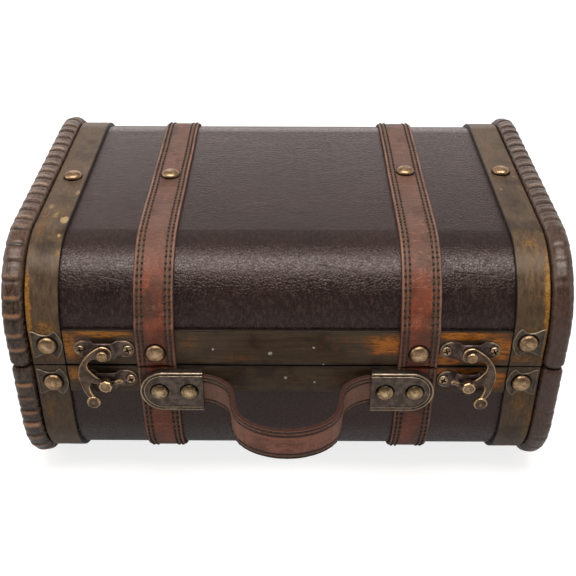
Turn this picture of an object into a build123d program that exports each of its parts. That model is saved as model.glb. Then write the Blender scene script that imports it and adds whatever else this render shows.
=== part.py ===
from build123d import *
import math
import os

# Millimetres. X runs along the case, Y from front to back, Z up. The case stands on z = 0.
# Until the parts are written out, y = 0 is the middle of the case.

# the case
case_length = 300.0
case_depth = 222.0
case_corner_radius = 46.5
front_above_seam = 19.7
front_below_seam = 39.3
seam_gap = 0.9

# ribbed edge beads
bead_width = 11.6
bead_rise = 5.8
bead_gap = 1.7
bead_sides = 5
rib_pitch = 9.0
rib_notch_depth = 1.0
rib_notch_width = 2.2

# walls
covering_thickness = 1.0
shell_thickness = 3.5
lining_thickness = 0.8
end_board_thickness = 5.0
end_inset = 0.6

# wooden bands and rails
wood_thickness = 2.2
band_width = 18.0
band_bead_gap = 0.5
rail_band_gap = 0.3
lid_rail_height = 22.5
base_rail_height = 18.0

# leather straps
strap_width = 21.3
strap_end_inset = 79.5
strap_thickness = 2.0
strap_end_hollow = 1.8
strap_end_flat = 1.2
strap_ramp = 7.0
ramp_shares = ((0.0, 0.0), (0.2, 0.1), (0.4, 0.35), (0.6, 0.65), (0.8, 0.9), (1.0, 1.0))

# domed nails
nail_radius = 5.4
nail_height = 3.4
nail_rim = 0.6
nail_shank = 2.0
nail_length = 4.6
nail_fit = 0.05
nail_lid_rise = 14.2
nail_base_drop = 11.2
strap_nail_rise = 10.0
strap_nail_drop = 12.0
dome_shares = ((0.95, 0.42), (0.74, 0.78), (0.4, 0.96))

# front corner plates
corner_plate_width = 16.6
corner_plate_height = 17.8
corner_plate_thickness = 0.7
corner_plate_shares = (
    (0.0, 0.98),
    (0.16, 0.92),
    (0.34, 0.74),
    (0.52, 0.70),
    (0.64, 0.80),
    (0.75, 1.0),
    (0.87, 0.78),
    (0.96, 0.42),
    (1.0, 0.0),
)

# swing hook latches
latch_end_inset = 52.0
latch_plate_length = 32.8
latch_plate_height = 10.8
latch_plate_thickness = 1.2
hook_plate_rise = 11.4
catch_plate_drop = 8.3
latch_screw_spacing = 25.6
bridge_width = 9.4
bridge_slope = 2.4
hook_nail_gap = 0.5
hook_thickness = 1.8
hook_play = 0.5
eye_radius = 5.0
pivot_radius = 1.8
pivot_play = 0.1
stud_radius = 3.1
stud_height = 1.9
post_radius = 3.2
post_head_radius = 3.7
post_head_height = 2.4
post_head_rim = 1.7
prong_width = 2.4
prong_play = 0.35
prong_slot_angle = 0.5
knob_radius = 4.0
knob_thickness = 2.6
knob_edge = 0.5
hook_outer_shares = (
    (-0.05, 0.25),
    (-0.19, 0.175),
    (-0.35, 0.055),
    (-0.495, -0.095),
    (-0.62, -0.28),
    (-0.695, -0.45),
    (-0.735, -0.62),
    (-0.74, -0.79),
    (-0.715, -0.94),
    (-0.685, -1.12),
    (-0.645, -1.30),
    (-0.555, -1.48),
    (-0.47, -1.58),
)
hook_inner_shares = (
    (-0.36, -1.56),
    (-0.455, -1.42),
    (-0.52, -1.28),
    (-0.535, -1.13),
    (-0.50, -0.96),
    (-0.46, -0.74),
    (-0.475, -0.56),
    (-0.47, -0.42),
    (-0.425, -0.28),
    (-0.335, -0.18),
    (-0.20, -0.155),
    (-0.05, -0.24),
)
knob_share = (-0.413, -1.643)
prong_start_share = -0.60
prong_tip_share = 0.33
prong_taper_share = 0.45

# screws
screw_radius = 2.8
screw_head = 1.1
screw_edge = 0.3
screw_shank = 1.1
screw_length = 3.6
screw_fit = 0.05
cross_width = 0.7
cross_length = 3.2
cross_depth = 0.6

# handle
cap_length = 34.4
cap_height = 26.2
cap_thickness = 4.2
cap_strap_lap = 9.7
cap_top_gap = 0.3
cap_lip = 1.0
cap_channel_width = 1.2
cap_channel_depth = 0.5
cap_ridge = 0.8
cap_floor_depth = 0.6
handle_width = 19.5
handle_thickness = 2.4
handle_play = 0.15
handle_end_inset = 3.6
handle_reach = 39.4
handle_droop = 3.8
handle_x_shares = (
    1.0, 0.915, 0.825, 0.735, 0.672, 0.64, 0.626, 0.613, 0.584, 0.531, 0.448, 0.351, 0.243, 0.127, 0.0
)
handle_y_shares = (
    0.0, 0.02, 0.065, 0.14, 0.225, 0.335, 0.445, 0.56, 0.665, 0.765, 0.85, 0.915, 0.96, 0.99, 1.0
)
handle_z_shares = (
    0.0, 0.01, 0.04, 0.09, 0.16, 0.26, 0.36, 0.48, 0.59, 0.70, 0.80, 0.88, 0.94, 0.985, 1.0
)
rivet_radius = 5.0
rivet_height = 2.4
rivet_rim = 0.4
rivet_shank_radius = 1.9
rivet_fit = 0.05
rivet_outer_inset = 10.6
rivet_spacing = 16.2
rivet_bite = 2.0

# hinges
hinge_strap_gap = 2.0
hinge_length = 28.0
leaf_height = 13.0
leaf_thickness = 1.2
barrel_inset = 0.5
barrel_standoff = 0.3
hinge_pin_radius = 1.2
hinge_pin_play = 0.06
hinge_pin_head = 1.0
hinge_pin_head_share = 0.8
knuckle_gap = 0.3
knuckle_count = 3
leaf_relief = 0.35
leaf_screw_radius = 2.4
leaf_screw_spacing = 17.0

overrun = 5.0

# places worked out from the sizes above
half_length = case_length / 2
half_depth = case_depth / 2
seam_height = case_corner_radius + front_below_seam
case_height = seam_height + front_above_seam + case_corner_radius
leather_face = half_depth - bead_rise
wood_face = leather_face + wood_thickness
strap_face = wood_face + strap_thickness
seam_low = seam_height - seam_gap / 2
seam_high = seam_height + seam_gap / 2
leather_inset = bead_rise
shell_inset = leather_inset + covering_thickness
lining_inset = shell_inset + shell_thickness
room_inset = lining_inset + lining_thickness
leather_end = half_length - end_inset
board_end = leather_end - covering_thickness
board_inner = board_end - end_board_thickness
band_outer = half_length - bead_width - band_bead_gap
band_inner = band_outer - band_width
band_middle = band_inner + corner_plate_width / 2
rail_end = band_inner - rail_band_gap
strap_middle = half_length - strap_end_inset
latch_middle = half_length - latch_end_inset
strap_low = strap_middle - strap_width / 2
strap_high = strap_middle + strap_width / 2
hook_plate_z = seam_height + hook_plate_rise
catch_plate_z = seam_height - catch_plate_drop
pin_spacing = hook_plate_rise + catch_plate_drop
plate_face = wood_face + corner_plate_thickness
hook_back = plate_face + nail_height + hook_nail_gap
bridge_face = hook_back - hook_play
hook_front = hook_back + hook_thickness
cap_top = seam_low - cap_top_gap
cap_middle_z = cap_top - cap_height / 2
cap_face = strap_face + cap_thickness
cap_mouth = strap_middle + cap_strap_lap - cap_length
cap_floor_face = cap_face - cap_floor_depth
handle_back = strap_face + handle_play
handle_start = handle_back + handle_thickness / 2
hinge_axis_y = half_depth - barrel_inset
barrel_radius = hinge_axis_y - wood_face - barrel_standoff
hinge_middle = strap_high + hinge_strap_gap + hinge_pin_head + hinge_length / 2


def block(inset, x_low, x_high):
    outline = RectangleRounded(
        case_depth - 2 * inset, case_height - 2 * inset, case_corner_radius - inset
    )
    face = Plane.YZ.offset(x_low) * Pos(0, case_height / 2) * outline
    return extrude(face, x_high - x_low)


def polygon(points):
    # wound so that the face looks along its plane's normal
    area = sum(a[0] * b[1] - b[0] * a[1] for a, b in zip(points, points[1:] + points[:1]))
    if area < 0:
        points = points[::-1]
    return make_face(Polyline(*points, close=True))


def span(x_low, x_high, y_low, y_high, z_low, z_high):
    size = (x_high - x_low, y_high - y_low, z_high - z_low)
    middle = ((x_low + x_high) / 2, (y_low + y_high) / 2, (z_low + z_high) / 2)
    return Pos(*middle) * Box(*size)


def keep(solid, z_low, z_high):
    reach = half_length + overrun
    depth = case_depth
    return solid & span(-reach, reach, -depth, depth, z_low, z_high)


def lid_part(solid):
    return keep(solid, seam_high, case_height + overrun)


def base_part(solid):
    return keep(solid, -overrun, seam_low)


def mirrored(solid):
    return mirror(solid, about=Plane.YZ)


def ring(outer_inset, inner_inset, x_low, x_high):
    return block(outer_inset, x_low, x_high) - block(inner_inset, x_low - overrun, x_high + overrun)


# the path along a half's outline, from its front seam to its back seam


def edge_points(end_z, side):
    # side is 1 for the lid, over the top, and -1 for the base, under the bottom
    radius = case_corner_radius
    flat_z = case_height - radius if side > 0 else radius
    straight = abs(flat_z - end_z)
    arc = radius * math.pi / 2
    across = case_depth - 2 * radius
    total = 2 * straight + 2 * arc + across

    def at(s, lift):
        grow = radius + lift
        if s <= straight:
            return (-half_depth - lift, end_z + side * s)
        if s <= straight + arc:
            turn = (s - straight) / radius
            y = -half_depth + radius - grow * math.cos(turn)
            return (y, flat_z + side * grow * math.sin(turn))
        if s <= straight + arc + across:
            y = -half_depth + radius + (s - straight - arc)
            return (y, flat_z + side * grow)
        if s <= total - straight:
            turn = (s - straight - arc - across) / radius
            y = half_depth - radius + grow * math.sin(turn)
            return (y, flat_z + side * grow * math.cos(turn))
        return (half_depth + lift, end_z + side * (total - s))

    return at, total


def toothed_outline(end_z, side):
    at, total = edge_points(end_z, side)
    count = 2 * round((total / rib_pitch - 1) / 2) + 1
    pitch = total / count
    points = [at(0, bead_rise)]
    for index in range(1, count):
        s = index * pitch
        points.append(at(s - rib_notch_width / 2, rib_notch_depth / 2))
        points.append(at(s, -rib_notch_depth))
        points.append(at(s + rib_notch_width / 2, rib_notch_depth / 2))
    points.append(at(total, bead_rise))
    return points


def bead(end_z, side):
    radius = case_corner_radius - bead_rise
    flat_z = case_height - case_corner_radius if side > 0 else case_corner_radius
    inner_y = half_depth - case_corner_radius
    bottom = flat_z + side * radius
    corner = radius * math.sqrt(2) / 2
    starts = [
        (0, -leather_face, end_z),
        (0, -leather_face, flat_z),
        (0, -inner_y - corner, flat_z + side * corner),
        (0, -inner_y, bottom),
        (0, inner_y, bottom),
        (0, inner_y + corner, flat_z + side * corner),
        (0, leather_face, flat_z),
        (0, leather_face, end_z),
    ]
    path = Wire(
        [
            Edge.make_line(starts[0], starts[1]),
            Edge.make_three_point_arc(starts[1], starts[2], starts[3]),
            Edge.make_line(starts[3], starts[4]),
            Edge.make_three_point_arc(starts[4], starts[5], starts[6]),
            Edge.make_line(starts[6], starts[7]),
        ]
    )
    tallest = max(math.sin(math.pi * n / bead_sides) for n in range(bead_sides + 1))
    outline = [
        (
            -math.cos(math.pi * n / bead_sides) * bead_width / 2,
            math.sin(math.pi * n / bead_sides) * bead_rise / tallest,
        )
        for n in range(bead_sides + 1)
    ]
    points = [(x, -leather_face - rise, end_z) for x, rise in outline]
    section = make_face(Polyline(*points, close=True))
    smooth = sweep(section, path=path)
    outline_face = Plane.YZ * polygon(toothed_outline(end_z, side))
    comb = extrude(Pos(-bead_width / 2 - overrun, 0, 0) * outline_face, bead_width + 2 * overrun)
    return Pos(half_length - bead_width / 2, 0, 0) * (smooth & comb)


# fasteners


def dome(radius, height, rim):
    # the head alone, its flat underside on z = 0
    points = [(0, 0), (radius, 0), (radius, rim)]
    points += [(radius * out, rim + (height - rim) * up) for out, up in dome_shares]
    points += [(0, height)]
    return revolve(Plane.XZ * polygon(points), Axis.Z)


def nail(at):
    shank = Pos(0, 0, -nail_length / 2) * Box(nail_shank, nail_shank, nail_length)
    return at * (dome(nail_radius, nail_height, nail_rim) + shank)


def nail_hole(at):
    side = nail_shank + 2 * nail_fit
    length = nail_length + nail_fit
    return at * Pos(0, 0, (nail_fit - length) / 2) * Box(side, side, length + nail_fit)


def screw(at, radius, depth):
    points = [(0, 0), (radius, 0), (radius, screw_edge), (radius - screw_edge, screw_head), (0, screw_head)]
    head = revolve(Plane.XZ * polygon(points), Axis.Z)
    slot = Pos(0, 0, screw_head) * Box(cross_length * radius / screw_radius, cross_width, 2 * cross_depth)
    head -= slot
    head -= Rot(0, 0, 90) * slot
    shank = Pos(0, 0, -depth) * extrude(RegularPolygon(screw_shank, 8), depth)
    return at * (head + shank)


def screw_hole(at, depth):
    hole = extrude(RegularPolygon(screw_shank + screw_fit, 8), depth + 2 * screw_fit)
    return at * Pos(0, 0, -depth - screw_fit) * hole


def front(x, face, z):
    # a frame whose Z looks out of the front of the case
    return Location(Plane(origin=(x, -face, z), x_dir=(1, 0, 0), z_dir=(0, -1, 0)))


def back(x, face, z):
    return Location(Plane(origin=(x, face, z), x_dir=(-1, 0, 0), z_dir=(0, 1, 0)))


def top(x, z):
    return Location(Plane(origin=(x, 0, z), x_dir=(1, 0, 0), z_dir=(0, 0, 1)))


band_top = case_height - leather_inset + wood_thickness
strap_top = case_height - leather_inset + strap_thickness
lid_plate_z = seam_height + nail_lid_rise
base_plate_z = seam_height - nail_base_drop
lid_strap_z = seam_height + strap_nail_rise
base_strap_z = seam_height - strap_nail_drop

lid_band_nail_places = (
    [top(x, band_top) for x in (-band_middle, band_middle)]
    + [front(x, plate_face, lid_plate_z) for x in (-band_middle, band_middle)]
    + [back(x, wood_face, lid_plate_z) for x in (-band_middle, band_middle)]
)
lid_strap_nail_places = (
    [top(x, strap_top) for x in (-strap_middle, strap_middle)]
    + [front(x, strap_face, lid_strap_z) for x in (-strap_middle, strap_middle)]
    + [back(x, strap_face, lid_strap_z) for x in (-strap_middle, strap_middle)]
)
base_band_nail_places = [front(x, plate_face, base_plate_z) for x in (-band_middle, band_middle)] + [
    back(x, wood_face, base_plate_z) for x in (-band_middle, band_middle)
]
base_strap_nail_places = [back(x, strap_face, base_strap_z) for x in (-strap_middle, strap_middle)]

screw_offset = latch_screw_spacing / 2
latch_face = wood_face + latch_plate_thickness
hook_screw_places = [
    front(middle + side, latch_face, hook_plate_z)
    for middle in (-latch_middle, latch_middle)
    for side in (-screw_offset, screw_offset)
]
catch_screw_places = [
    front(middle + side, latch_face, catch_plate_z)
    for middle in (-latch_middle, latch_middle)
    for side in (-screw_offset, screw_offset)
]
leaf_face = wood_face + leaf_thickness
leaf_screw_z = barrel_radius + (leaf_height - barrel_radius) / 2
lid_leaf_screw_places = [
    back(middle + side, leaf_face, seam_height + leaf_screw_z)
    for middle in (-hinge_middle, hinge_middle)
    for side in (-leaf_screw_spacing / 2, leaf_screw_spacing / 2)
]
base_leaf_screw_places = [
    back(middle + side, leaf_face, seam_height - leaf_screw_z)
    for middle in (-hinge_middle, hinge_middle)
    for side in (-leaf_screw_spacing / 2, leaf_screw_spacing / 2)
]

rivet_outer_x = cap_mouth + cap_length - rivet_outer_inset
rivet_inner_x = rivet_outer_x - rivet_spacing
rivet_places = [
    front(x, cap_floor_face, cap_middle_z)
    for x in (-rivet_outer_x, -rivet_inner_x, rivet_inner_x, rivet_outer_x)
]
rivet_length = cap_floor_face - leather_face + covering_thickness + rivet_bite


def rivet(at):
    shank = Pos(0, 0, -rivet_length / 2) * Cylinder(rivet_shank_radius, rivet_length)
    return at * (dome(rivet_radius, rivet_height, rivet_rim) + shank)


def rivet_hole(at):
    length = rivet_length + 2 * rivet_fit
    hole = Cylinder(rivet_shank_radius + rivet_fit, length)
    return at * Pos(0, 0, rivet_fit - length / 2) * hole


def minus(solid, tools):
    return solid - tools if tools else solid


lid_nail_holes = [nail_hole(at) for at in lid_band_nail_places + lid_strap_nail_places]
base_nail_holes = [nail_hole(at) for at in base_band_nail_places + base_strap_nail_places]
lid_front_holes = [screw_hole(at, screw_length) for at in hook_screw_places]
base_front_holes = [screw_hole(at, screw_length) for at in catch_screw_places]
lid_back_holes = [screw_hole(at, screw_length) for at in lid_leaf_screw_places]
base_back_holes = [screw_hole(at, screw_length) for at in base_leaf_screw_places]
rivet_holes = [rivet_hole(at) for at in rivet_places]
lid_holes = lid_nail_holes + lid_front_holes + lid_back_holes
base_holes = base_nail_holes + base_front_holes + base_back_holes + rivet_holes

# walls, covering and lining


def half_walls(half, holes):
    shell = half(ring(shell_inset, lining_inset, -board_inner, board_inner))
    outer = block(leather_inset, -leather_end, leather_end)
    covering = half(outer - block(shell_inset, -board_end, board_end))
    board = half(block(shell_inset, board_inner, board_end))
    outer = block(lining_inset, -board_inner, board_inner)
    room = block(room_inset, lining_thickness - board_inner, board_inner - lining_thickness)
    lining = half(outer - room)
    return minus(shell, holes), minus(covering, holes), board, lining


# wooden bands, rails and straps


def rail(side_y, z_low, z_high):
    bar = ring(leather_inset - wood_thickness, leather_inset, -rail_end, rail_end)
    depth = side_y * case_depth
    low, high = min(0, depth), max(0, depth)
    return bar & span(-case_length, case_length, low, high, z_low, z_high)


def strap_bump(side_z, z_seam, rail_height):
    # the strap lifts over each rail and comes down again past its edge
    at, total = edge_points(z_seam, side_z)
    high = wood_thickness + strap_thickness - bead_rise
    low = strap_thickness - bead_rise
    edge = rail_height + strap_thickness / 2
    line = [at(0, high)]
    for share, drop in ramp_shares:
        line.append(at(edge + share * strap_ramp, high + (low - high) * drop))
    line.append(at(edge + strap_ramp, low - covering_thickness / 2))
    inner = [at(edge + strap_ramp * share, -bead_rise - covering_thickness / 2) for share in (1, 0)]
    inner.append(at(0, -bead_rise - covering_thickness / 2))
    body = extrude(Plane.YZ.offset(strap_low) * polygon(line + inner), strap_width)
    return [body, mirror(body, about=Plane.XZ)]


def strap_end_cut():
    # the front end over the handle is cut to a shallow hollow curve
    chord = strap_width / 2 - strap_end_flat
    radius = (chord**2 + strap_end_hollow**2) / (2 * strap_end_hollow)
    disc = Plane.XZ * Pos(strap_middle, seam_high + strap_end_hollow - radius) * Circle(radius)
    return extrude(disc, case_depth)


def strap(half, z_seam, side_z, rail_height, rails):
    bumps = strap_bump(side_z, z_seam, rail_height)
    body = block(leather_inset - strap_thickness, strap_low, strap_high) + bumps
    body = half(body - block(leather_inset, strap_low - overrun, strap_high + overrun))
    if side_z > 0:
        body -= strap_end_cut()
    return body - rails


# latches


def latch_plate(middle, z):
    # a flat plate with round ends, drawn out in the middle into a bridge
    flat = SlotOverall(latch_plate_length, latch_plate_height)
    plate = front(0, wood_face, 0) * extrude(flat, latch_plate_thickness)
    wide = bridge_width / 2 + bridge_slope
    narrow = bridge_width / 2
    low = -wood_face
    face_low = -latch_face
    face_high = -bridge_face
    under = face_high + latch_plate_thickness
    outline = [(-wide, face_low), (-narrow, face_high), (narrow, face_high), (wide, face_low)]
    hollow = [(-wide, low), (-narrow, under), (narrow, under), (wide, low)]
    bridge = extrude(polygon(outline), latch_plate_height)
    tunnel = extrude(polygon(hollow), latch_plate_height + 2 * overrun)
    body = plate + Pos(0, 0, -latch_plate_height / 2) * bridge
    body -= Pos(0, 0, -latch_plate_height / 2 - overrun) * tunnel
    return Pos(middle, 0, z) * body


def pivot(middle):
    # a stud through the hook's eye, its foot riveted behind the bridge
    neck = hook_front + hook_play - bridge_face
    post = extrude(Circle(pivot_radius), neck + latch_plate_thickness)
    head = Pos(0, 0, neck) * dome(stud_radius, stud_height, stud_height / 2)
    stud = Pos(0, 0, -latch_plate_thickness) * post + head
    return front(middle, bridge_face, hook_plate_z) * stud


def prong_band(play, start, tip):
    # the part of the hook that runs on a circle about the pivot, through the post
    inner = pin_spacing - prong_width / 2 - play
    outer = pin_spacing + prong_width / 2 + play
    steps = 8
    angles = [start + (tip - start) * n / steps for n in range(steps + 1)]
    far = [(outer * math.sin(a), -outer * math.cos(a)) for a in angles]
    near = [(inner * math.sin(a), -inner * math.cos(a)) for a in reversed(angles)]
    return far, near


def catch_post(middle):
    head_back = hook_front + hook_play
    length = head_back - bridge_face + post_head_height / 2
    stem = extrude(Circle(post_radius), length)
    head = Pos(0, 0, head_back - bridge_face) * dome(post_head_radius, post_head_height, post_head_rim)
    tail = Pos(0, 0, -latch_plate_thickness) * extrude(Circle(pivot_radius), latch_plate_thickness)
    body = front(middle, bridge_face, catch_plate_z) * (stem + head + tail)
    far, near = prong_band(prong_play, -prong_slot_angle, prong_slot_angle)
    slot = extrude(polygon(far + near), hook_thickness + 2 * prong_play)
    return body - front(middle, hook_back - prong_play, hook_plate_z) * slot


def hook(middle):
    # drawn for the left hook, which bows to the left
    unit = pin_spacing
    loop = [(x * unit, z * unit) for x, z in hook_outer_shares + hook_inner_shares]
    start = math.asin(prong_start_share)
    tip = math.asin(prong_tip_share)
    far, near = prong_band(0, start, tip)
    taper = prong_width * (1 - prong_taper_share) / 2
    end = (unit * math.sin(tip), -unit * math.cos(tip))
    far[-1] = (end[0], end[1] - taper)
    near[0] = (end[0], end[1] + taper)
    outline = polygon(loop) + Circle(eye_radius) + polygon(far + near)
    body = extrude(outline, hook_thickness)
    knob_at = (knob_share[0] * unit, knob_share[1] * unit)
    points = [
        (0, 0),
        (knob_radius - knob_edge, 0),
        (knob_radius, knob_edge),
        (knob_radius, knob_thickness - knob_edge),
        (knob_radius - knob_edge, knob_thickness),
        (0, knob_thickness),
    ]
    knob = revolve(Plane.XZ * polygon(points), Axis.Z)
    body += Pos(*knob_at, 0) * knob
    body -= extrude(Circle(pivot_radius + pivot_play), 2 * hook_thickness, both=True)
    return front(-middle, hook_back, hook_plate_z) * body


# corner plates


def corner_plate(z):
    high = [(u * corner_plate_width, v * corner_plate_height / 2) for u, v in corner_plate_shares]
    low = [(x, -y) for x, y in reversed(high[:-1])]
    flat = extrude(polygon(high + low), corner_plate_thickness)
    # the straight side lies towards the bead, so the outline is turned on the right half
    at = Plane(origin=(-band_inner - corner_plate_width, -wood_face, z), x_dir=(1, 0, 0), z_dir=(0, -1, 0))
    return Location(at) * flat


# handle


def cap_outline(inset):
    # a flat mouth towards the middle and a round end, drawn for the right half
    height = cap_height - 2 * inset
    radius = height / 2
    length = cap_length - inset
    box = Pos((length - radius) / 2, 0) * Rectangle(length - radius, height)
    return box + Pos(length - radius, 0) * Circle(radius)


def handle_cap():
    body = extrude(cap_outline(0), cap_thickness)
    channel_in = cap_lip + cap_channel_width
    floor_in = channel_in + cap_ridge
    outer = Pos(-overrun, 0) * extrude(cap_outline(cap_lip), cap_thickness)
    outer += extrude(cap_outline(cap_lip), cap_thickness)
    inner = Pos(-overrun, 0) * extrude(cap_outline(channel_in), cap_thickness)
    inner += extrude(cap_outline(channel_in), cap_thickness)
    floor = Pos(-overrun, 0) * extrude(cap_outline(floor_in), cap_thickness)
    floor += extrude(cap_outline(floor_in), cap_thickness)
    body -= Pos(0, 0, cap_thickness - cap_channel_depth) * (outer - inner)
    body -= Pos(0, 0, cap_thickness - cap_floor_depth) * floor
    depth = handle_thickness + 2 * handle_play
    width = handle_width + 2 * handle_play
    length = cap_length - handle_end_inset + handle_play
    pocket = Pos(-overrun, -width / 2, 0) * span(0, length + overrun, 0, width, -overrun, depth)
    body -= pocket
    placed = front(cap_mouth, strap_face, cap_middle_z) * body
    return placed - rivet_holes


def smooth_line(shares, count):
    # points evenly spread over a smooth curve through the shares
    points = [shares[0]] + list(shares) + [shares[-1]]
    found = []
    for index in range(1, len(points) - 2):
        a, b, c, d = points[index - 1 : index + 3]
        for step in range(count):
            t = step / count
            found.append(
                (
                    2 * b
                    + (c - a) * t
                    + (2 * a - 5 * b + 4 * c - d) * t * t
                    + (3 * b - a - 3 * c + d) * t * t * t
                )
                / 2
            )
    found.append(points[-2])
    return found


def handle_route():
    # the right half of the strip's middle line seen from above, with how far it has sunk
    steps = 2
    xs = [cap_mouth * share for share in smooth_line(handle_x_shares, steps)]
    ys = [-handle_start - handle_reach * share for share in smooth_line(handle_y_shares, steps)]
    zs = [cap_middle_z - handle_droop * share for share in smooth_line(handle_z_shares, steps)]
    end = cap_mouth + cap_length - handle_end_inset
    right = [(end, -handle_start, cap_middle_z)] + list(zip(xs, ys, zs))
    left = [(-x, y, z) for x, y, z in reversed(right[:-1])]
    return right + left


def handle_strip():
    route = handle_route()
    low, high = -handle_width / 2, handle_width / 2
    rows = []
    for index, (x, y, z) in enumerate(route):
        before = route[max(index - 1, 0)]
        after = route[min(index + 1, len(route) - 1)]
        dx, dy = after[0] - before[0], after[1] - before[1]
        length = math.hypot(dx, dy)
        nx = -dy / length * handle_thickness / 2
        ny = dx / length * handle_thickness / 2
        rows.append(
            (
                Vector(x + nx, y + ny, z + low),
                Vector(x - nx, y - ny, z + low),
                Vector(x - nx, y - ny, z + high),
                Vector(x + nx, y + ny, z + high),
            )
        )
    faces = []
    for one, two in zip(rows, rows[1:]):
        for n in range(4):
            m = (n + 1) % 4
            faces.append(Face(Wire.make_polygon([one[n], two[n], two[m]])))
            faces.append(Face(Wire.make_polygon([one[n], two[m], one[m]])))
    faces.append(Face(Wire.make_polygon(rows[0])))
    faces.append(Face(Wire.make_polygon(rows[-1])))
    strip = Solid(Shell(faces))
    return strip - rivet_holes


# hinges


def hinge_leaf(side_z, parity):
    # a leaf with its knuckles about the hinge line, drawn at x = 0 and the seam
    pitch = hinge_length / knuckle_count
    half = hinge_length / 2
    edge = seam_gap / 2 + leaf_relief
    low, high = sorted((side_z * edge, side_z * leaf_height))
    plate = span(-half, half, wood_face, leaf_face, low, high)
    barrel = Plane.YZ.offset(-hinge_length) * Pos(hinge_axis_y, 0) * Circle(barrel_radius + leaf_relief)
    plate -= extrude(barrel, 2 * hinge_length)
    pieces = []
    for index in range(knuckle_count):
        if index % 2 != parity:
            continue
        low = index * pitch - half + (knuckle_gap / 2 if index else 0)
        high = (index + 1) * pitch - half - (knuckle_gap / 2 if index < knuckle_count - 1 else 0)
        knuckle = Plane.YZ.offset(low) * Pos(hinge_axis_y, 0) * Circle(barrel_radius)
        pieces.append(extrude(knuckle, high - low))
        wrap = barrel_radius + leaf_relief + leaf_thickness
        web_low, web_high = sorted((0, side_z * wrap))
        pieces.append(span(low, high, wood_face + knuckle_gap / 2, leaf_face, web_low, web_high))
    leaf = plate + pieces
    bore = Plane.YZ.offset(-hinge_length) * Pos(hinge_axis_y, 0) * Circle(hinge_pin_radius + hinge_pin_play)
    return leaf - extrude(bore, 2 * hinge_length)


def hinge_pin():
    rod = Plane.YZ.offset(-hinge_length / 2) * Pos(hinge_axis_y, 0) * Circle(hinge_pin_radius)
    pin = extrude(rod, hinge_length)
    for low in (-hinge_length / 2 - hinge_pin_head, hinge_length / 2):
        head = Plane.YZ.offset(low) * Pos(hinge_axis_y, 0) * Circle(barrel_radius * hinge_pin_head_share)
        pin += extrude(head, hinge_pin_head)
    return pin


# all pieces


def group(items):
    return Compound([solid for item in items for solid in item.solids()])


def moved(part, y):
    # each solid is moved by itself, so that the written file holds it where it stands
    solids = [Pos(0, y, 0) * solid for solid in part.solids()]
    return solids[0] if len(solids) == 1 else Compound(solids)


parts = {}
shell, covering, board, lining = half_walls(base_part, base_holes)
parts["base_shell"] = shell
parts["base_covering"] = covering
parts["base_right_end_board"] = board
parts["base_left_end_board"] = mirrored(board)
parts["base_lining"] = lining
shell, covering, board, lining = half_walls(lid_part, lid_holes)
parts["lid_shell"] = shell
parts["lid_covering"] = covering
parts["lid_right_end_board"] = board
parts["lid_left_end_board"] = mirrored(board)
parts["lid_lining"] = lining

band = ring(leather_inset - wood_thickness, leather_inset, band_inner, band_outer)
parts["base_right_band"] = base_part(band) - base_nail_holes
parts["base_left_band"] = base_part(mirrored(band)) - base_nail_holes
parts["lid_right_band"] = lid_part(band) - lid_nail_holes
parts["lid_left_band"] = lid_part(mirrored(band)) - lid_nail_holes

base_rail_low = seam_low - base_rail_height
lid_rail_high = seam_high + lid_rail_height
base_rails = [rail(side, base_rail_low, seam_low) for side in (-1, 1)]
lid_rails = [rail(side, seam_high, lid_rail_high) for side in (-1, 1)]
parts["base_front_rail"] = base_rails[0] - base_nail_holes - base_front_holes - rivet_holes
parts["base_back_rail"] = base_rails[1] - base_nail_holes - base_back_holes
parts["lid_front_rail"] = lid_rails[0] - lid_nail_holes - lid_front_holes
parts["lid_back_rail"] = lid_rails[1] - lid_nail_holes - lid_back_holes

right_strap = strap(base_part, seam_low, -1, base_rail_height, base_rails)
parts["base_right_strap"] = right_strap - base_nail_holes - rivet_holes
parts["base_left_strap"] = mirrored(right_strap) - base_nail_holes - rivet_holes
right_strap = strap(lid_part, seam_high, 1, lid_rail_height, lid_rails)
parts["lid_right_strap"] = right_strap - lid_nail_holes
parts["lid_left_strap"] = mirrored(right_strap) - lid_nail_holes

lid_bead = bead(seam_height + bead_gap / 2, 1)
parts["lid_right_bead"] = lid_bead
parts["lid_left_bead"] = mirrored(lid_bead)
base_bead = bead(seam_height - bead_gap / 2, -1)
parts["base_right_bead"] = base_bead
parts["base_left_bead"] = mirrored(base_bead)

parts["lid_band_nails"] = group([nail(at) for at in lid_band_nail_places])
parts["lid_strap_nails"] = group([nail(at) for at in lid_strap_nail_places])
parts["base_band_nails"] = group([nail(at) for at in base_band_nail_places])
parts["base_strap_nails"] = group([nail(at) for at in base_strap_nail_places])

for name, z, holes in (("lid", lid_plate_z, lid_nail_holes), ("base", base_plate_z, base_nail_holes)):
    plate = corner_plate(z)
    parts[name + "_left_corner_plate"] = plate - holes
    parts[name + "_right_corner_plate"] = mirrored(plate) - holes

for side, middle in (("left", -latch_middle), ("right", latch_middle)):
    plate = latch_plate(middle, hook_plate_z) - lid_front_holes
    stud = pivot(middle)
    parts[side + "_hook_plate"] = plate - stud
    parts[side + "_hook_pivot"] = stud
    plate = latch_plate(middle, catch_plate_z) - base_front_holes
    post = catch_post(middle)
    parts[side + "_catch_plate"] = plate - post
    parts[side + "_catch_post"] = post
parts["left_hook"] = hook(latch_middle)
parts["right_hook"] = mirrored(parts["left_hook"])
parts["hook_plate_screws"] = group([screw(at, screw_radius, screw_length) for at in hook_screw_places])
parts["catch_plate_screws"] = group([screw(at, screw_radius, screw_length) for at in catch_screw_places])

cap = handle_cap()
parts["handle_right_cap"] = cap
parts["handle_left_cap"] = mirrored(cap)
parts["handle_strap"] = handle_strip()
parts["handle_rivets"] = group([rivet(at) for at in rivet_places])

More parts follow.
